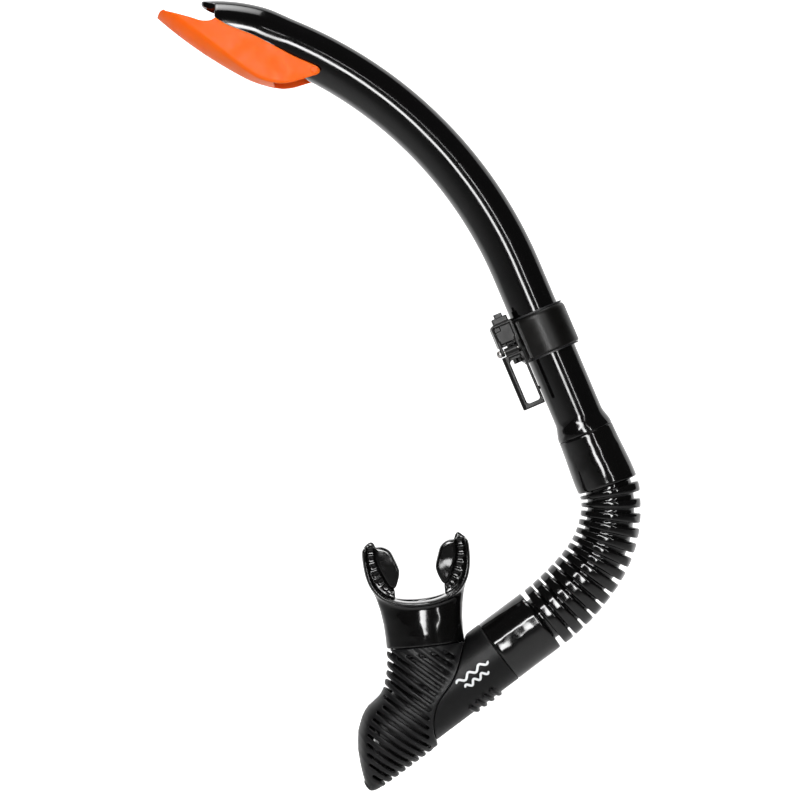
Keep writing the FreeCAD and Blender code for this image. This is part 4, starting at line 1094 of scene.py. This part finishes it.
STEEL = node_material("pin_steel", (0.42, 0.41, 0.40), 0.28, metallic=1.0, grain=0.1, grain_scale=1500)
INNER = node_material("inner_plastic", (0.01, 0.01, 0.011), 0.45, grain=0.3)
RUBBER = node_material("seal_rubber", (0.015, 0.015, 0.015), 0.5, grain=0.3, grain_scale=2500)
VALVE = node_material("valve_silicone", (0.02, 0.02, 0.021), 0.22, grain=0.1, grain_scale=1500)
PRINT = node_material("white_print", (0.75, 0.76, 0.77), 0.45, spec=0.3, grain=0.2, tint=0.04)


def dress(obj, *mats):
    """Puts materials on an object in place of those it has."""
    obj.data.materials.clear()
    for mat in mats:
        obj.data.materials.append(mat)


def place(obj, mats, body, nodes):
    """Materials, body and replaced CAD nodes of a finished piece."""
    dress(obj, *mats)
    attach(obj, body)
    if nodes:
        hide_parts(*nodes)


place(barrel_mesh(), [BLACK_GLOSS], "barrel", ["barrel_tube"])
place(guard_mesh(), [ORANGE], "barrel", ["splash_guard"])
place(cover_mesh(), [MATTE_COVER], "mouth_unit", ["ribbed_cover"])
place(body_mesh(), [MATTE_BODY, BLACK_GLOSS], "mouth_unit", ["lower_body"])
place(mouthpiece_mesh(), [SILICONE], "mouth_unit", ["mouthpiece"])
place(collar_mesh(), [KEEPER], "keeper_collar", ["keeper_collar"])
place(clip_mesh(), [KEEPER], "release_clip", ["release_clip"])
place(latch_mesh(), [KEEPER], "release_latch", ["release_latch"])
place(buckle_mesh(), [KEEPER], "strap_buckle", ["strap_buckle"])
place(pin_mesh(), [STEEL], "release_clip", ["buckle_pin"])

place(print_mesh(), [PRINT], "mouth_unit", [])
place(mould_mark_mesh(), [BLACK_GLOSS], "barrel", [])

hose = hose_mesh()
dress(hose, SILICONE)
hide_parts("flex_hose")
blend_start = to_world(hose_at(4.0)[0][None, :])[0]
blend_end = to_world(hose_at(HOSE_LENGTH - 2.0)[0][None, :])[0]
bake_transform(hose)

CARRIED = {
    "guard_pins": ORANGE, "hose_coupling": INNER, "swivel_spigot": INNER, "swivel_o_ring": RUBBER,
    "swivel_snap_ring": INNER, "valve_seat": INNER, "seat_gasket": RUBBER, "purge_valve": VALVE,
    "mouthpiece_band": INNER, "keeper_sleeve": INNER, "latch_spring": STEEL,
}
for node_name, material in CARRIED.items():
    dress(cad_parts[node_name], material)


# ---- floor, lights and camera

SWEEP_DEPTH = 1.2
SWEEP_BEND_R = 0.8
SWEEP_HALF_WIDTH = 4.0
FLOOR_DROP = 0.12
GLOW_FROM_Y = 0.2
GLOW_FULL_Y = 0.62


def sweep_material():
    """Pale matte paper that glows behind the object, so that the background is white."""
    mat = bpy.data.materials.new("pale_sweep")
    mat.use_nodes = True
    nodes, links = mat.node_tree.nodes, mat.node_tree.links
    bsdf = nodes["Principled BSDF"]
    set_inputs(bsdf, {"Base Color": (0.85, 0.85, 0.85, 1), "Roughness": 0.9, "Specular IOR Level": 0.0,
                      "Emission Color": (1, 1, 1, 1)})
    where = nodes.new("ShaderNodeTexCoord")
    split = nodes.new("ShaderNodeSeparateXYZ")
    glow = nodes.new("ShaderNodeMapRange")
    glow.interpolation_type = "SMOOTHSTEP"
    set_inputs(glow, {"From Min": GLOW_FROM_Y, "From Max": GLOW_FULL_Y, "To Min": 0.0, "To Max": 0.96})
    links.new(where.outputs["Object"], split.inputs["Vector"])
    links.new(split.outputs["Y"], glow.inputs["Value"])
    links.new(glow.outputs["Result"], bsdf.inputs["Emission Strength"])
    return mat


def stage_sweep():
    """Pale floor that curves up into a backdrop behind the object."""
    depth = [(-3.0, 0.0), (SWEEP_DEPTH, 0.0)]
    for k in range(1, 13):
        t = k / 12 * math.pi / 2
        depth.append((SWEEP_DEPTH + SWEEP_BEND_R * math.sin(t), SWEEP_BEND_R * (1 - math.cos(t))))
    depth.append((SWEEP_DEPTH + SWEEP_BEND_R, 4.0))
    floor_z = cad_low.z - FLOOR_DROP
    verts = []
    for x in (-SWEEP_HALF_WIDTH, SWEEP_HALF_WIDTH):
        verts += [(x, y, z + floor_z) for y, z in depth]
    n = len(depth)
    faces = [(i, i + 1, n + i + 1, n + i) for i in range(n - 1)]
    mesh = bpy.data.meshes.new("Sweep")
    mesh.from_pydata(verts, [], faces)
    mesh.polygons.foreach_set("use_smooth", [True] * len(mesh.polygons))
    obj = bpy.data.objects.new("Sweep", mesh)
    bpy.context.scene.collection.objects.link(obj)
    obj.data.materials.append(sweep_material())


LIGHT_PLANE_Y = -1.3
OBJECT_MIDDLE = Vector((-0.03, 0.0, 0.02))


def area_light(name, location, target, size, radiance, along, spread):
    """Rectangular soft light aimed at a point, its longer side along a direction."""
    light = bpy.data.lights.new(name, "AREA")
    light.shape = "RECTANGLE"
    light.size, light.size_y = size
    light.energy = radiance * math.pi * size[0] * size[1]
    light.spread = spread * DEG
    back = (Vector(location) - Vector(target)).normalized()
    side = Vector(along).cross(back).normalized()
    up = back.cross(side)
    obj = bpy.data.objects.new(name, light)
    obj.matrix_world = Matrix.Translation(location) @ Matrix((side, up, back)).transposed().to_4x4()
    bpy.context.scene.collection.objects.link(obj)


def strip_light(name, start, end, width, radiance):
    """Long softbox between two points of the plane of lights in front of the object."""
    start, end = Vector((start[0], LIGHT_PLANE_Y, start[1])), Vector((end[0], LIGHT_PLANE_Y, end[1]))
    size = (width, (end - start).length)
    area_light(name, (start + end) / 2, OBJECT_MIDDLE, size, radiance, end - start, 75.0)


bpy.context.scene.view_settings.view_transform = "Standard"
stage_sweep()
world = bpy.data.worlds.new("Studio")
bpy.context.scene.world = world
world.use_nodes = True
set_inputs(world.node_tree.nodes["Background"], {"Color": (1, 1, 1, 1), "Strength": 0.035})

area_light("TopSoft", (-0.3, 0.1, 1.5), (-0.05, 0.0, 0.0), (0.9, 0.9), 1.0, (0, 1, 0), 60.0)
strip_light("KeyStrip", (0.04, -0.075), (-0.36, 0.555), 0.2, 4.2)
strip_light("BodyBox", (-0.80, 0.36), (-0.26, 0.765), 0.12, 4.4)
strip_light("ThinStripHigh", (0.059, 0.78), (0.354, 0.552), 0.04, 1.8)
strip_light("ThinStripLow", (0.365, 0.54), (0.63, -0.03), 0.05, 3.6)

CAMERA_DISTANCE = 1450.0
VIEW_WIDTH = 420.24
camera_data = bpy.data.cameras.new("Camera")
camera_data.sensor_width = 36.0
camera_data.lens = camera_data.sensor_width * CAMERA_DISTANCE / VIEW_WIDTH
camera = bpy.data.objects.new("Camera", camera_data)
camera.location = (-0.0652, (PLANE_Y - CAMERA_DISTANCE) / 1000.0, -0.0104)
camera.rotation_euler = (math.pi / 2, 0, 0)
bpy.context.scene.collection.objects.link(camera)
bpy.context.scene.camera = camera
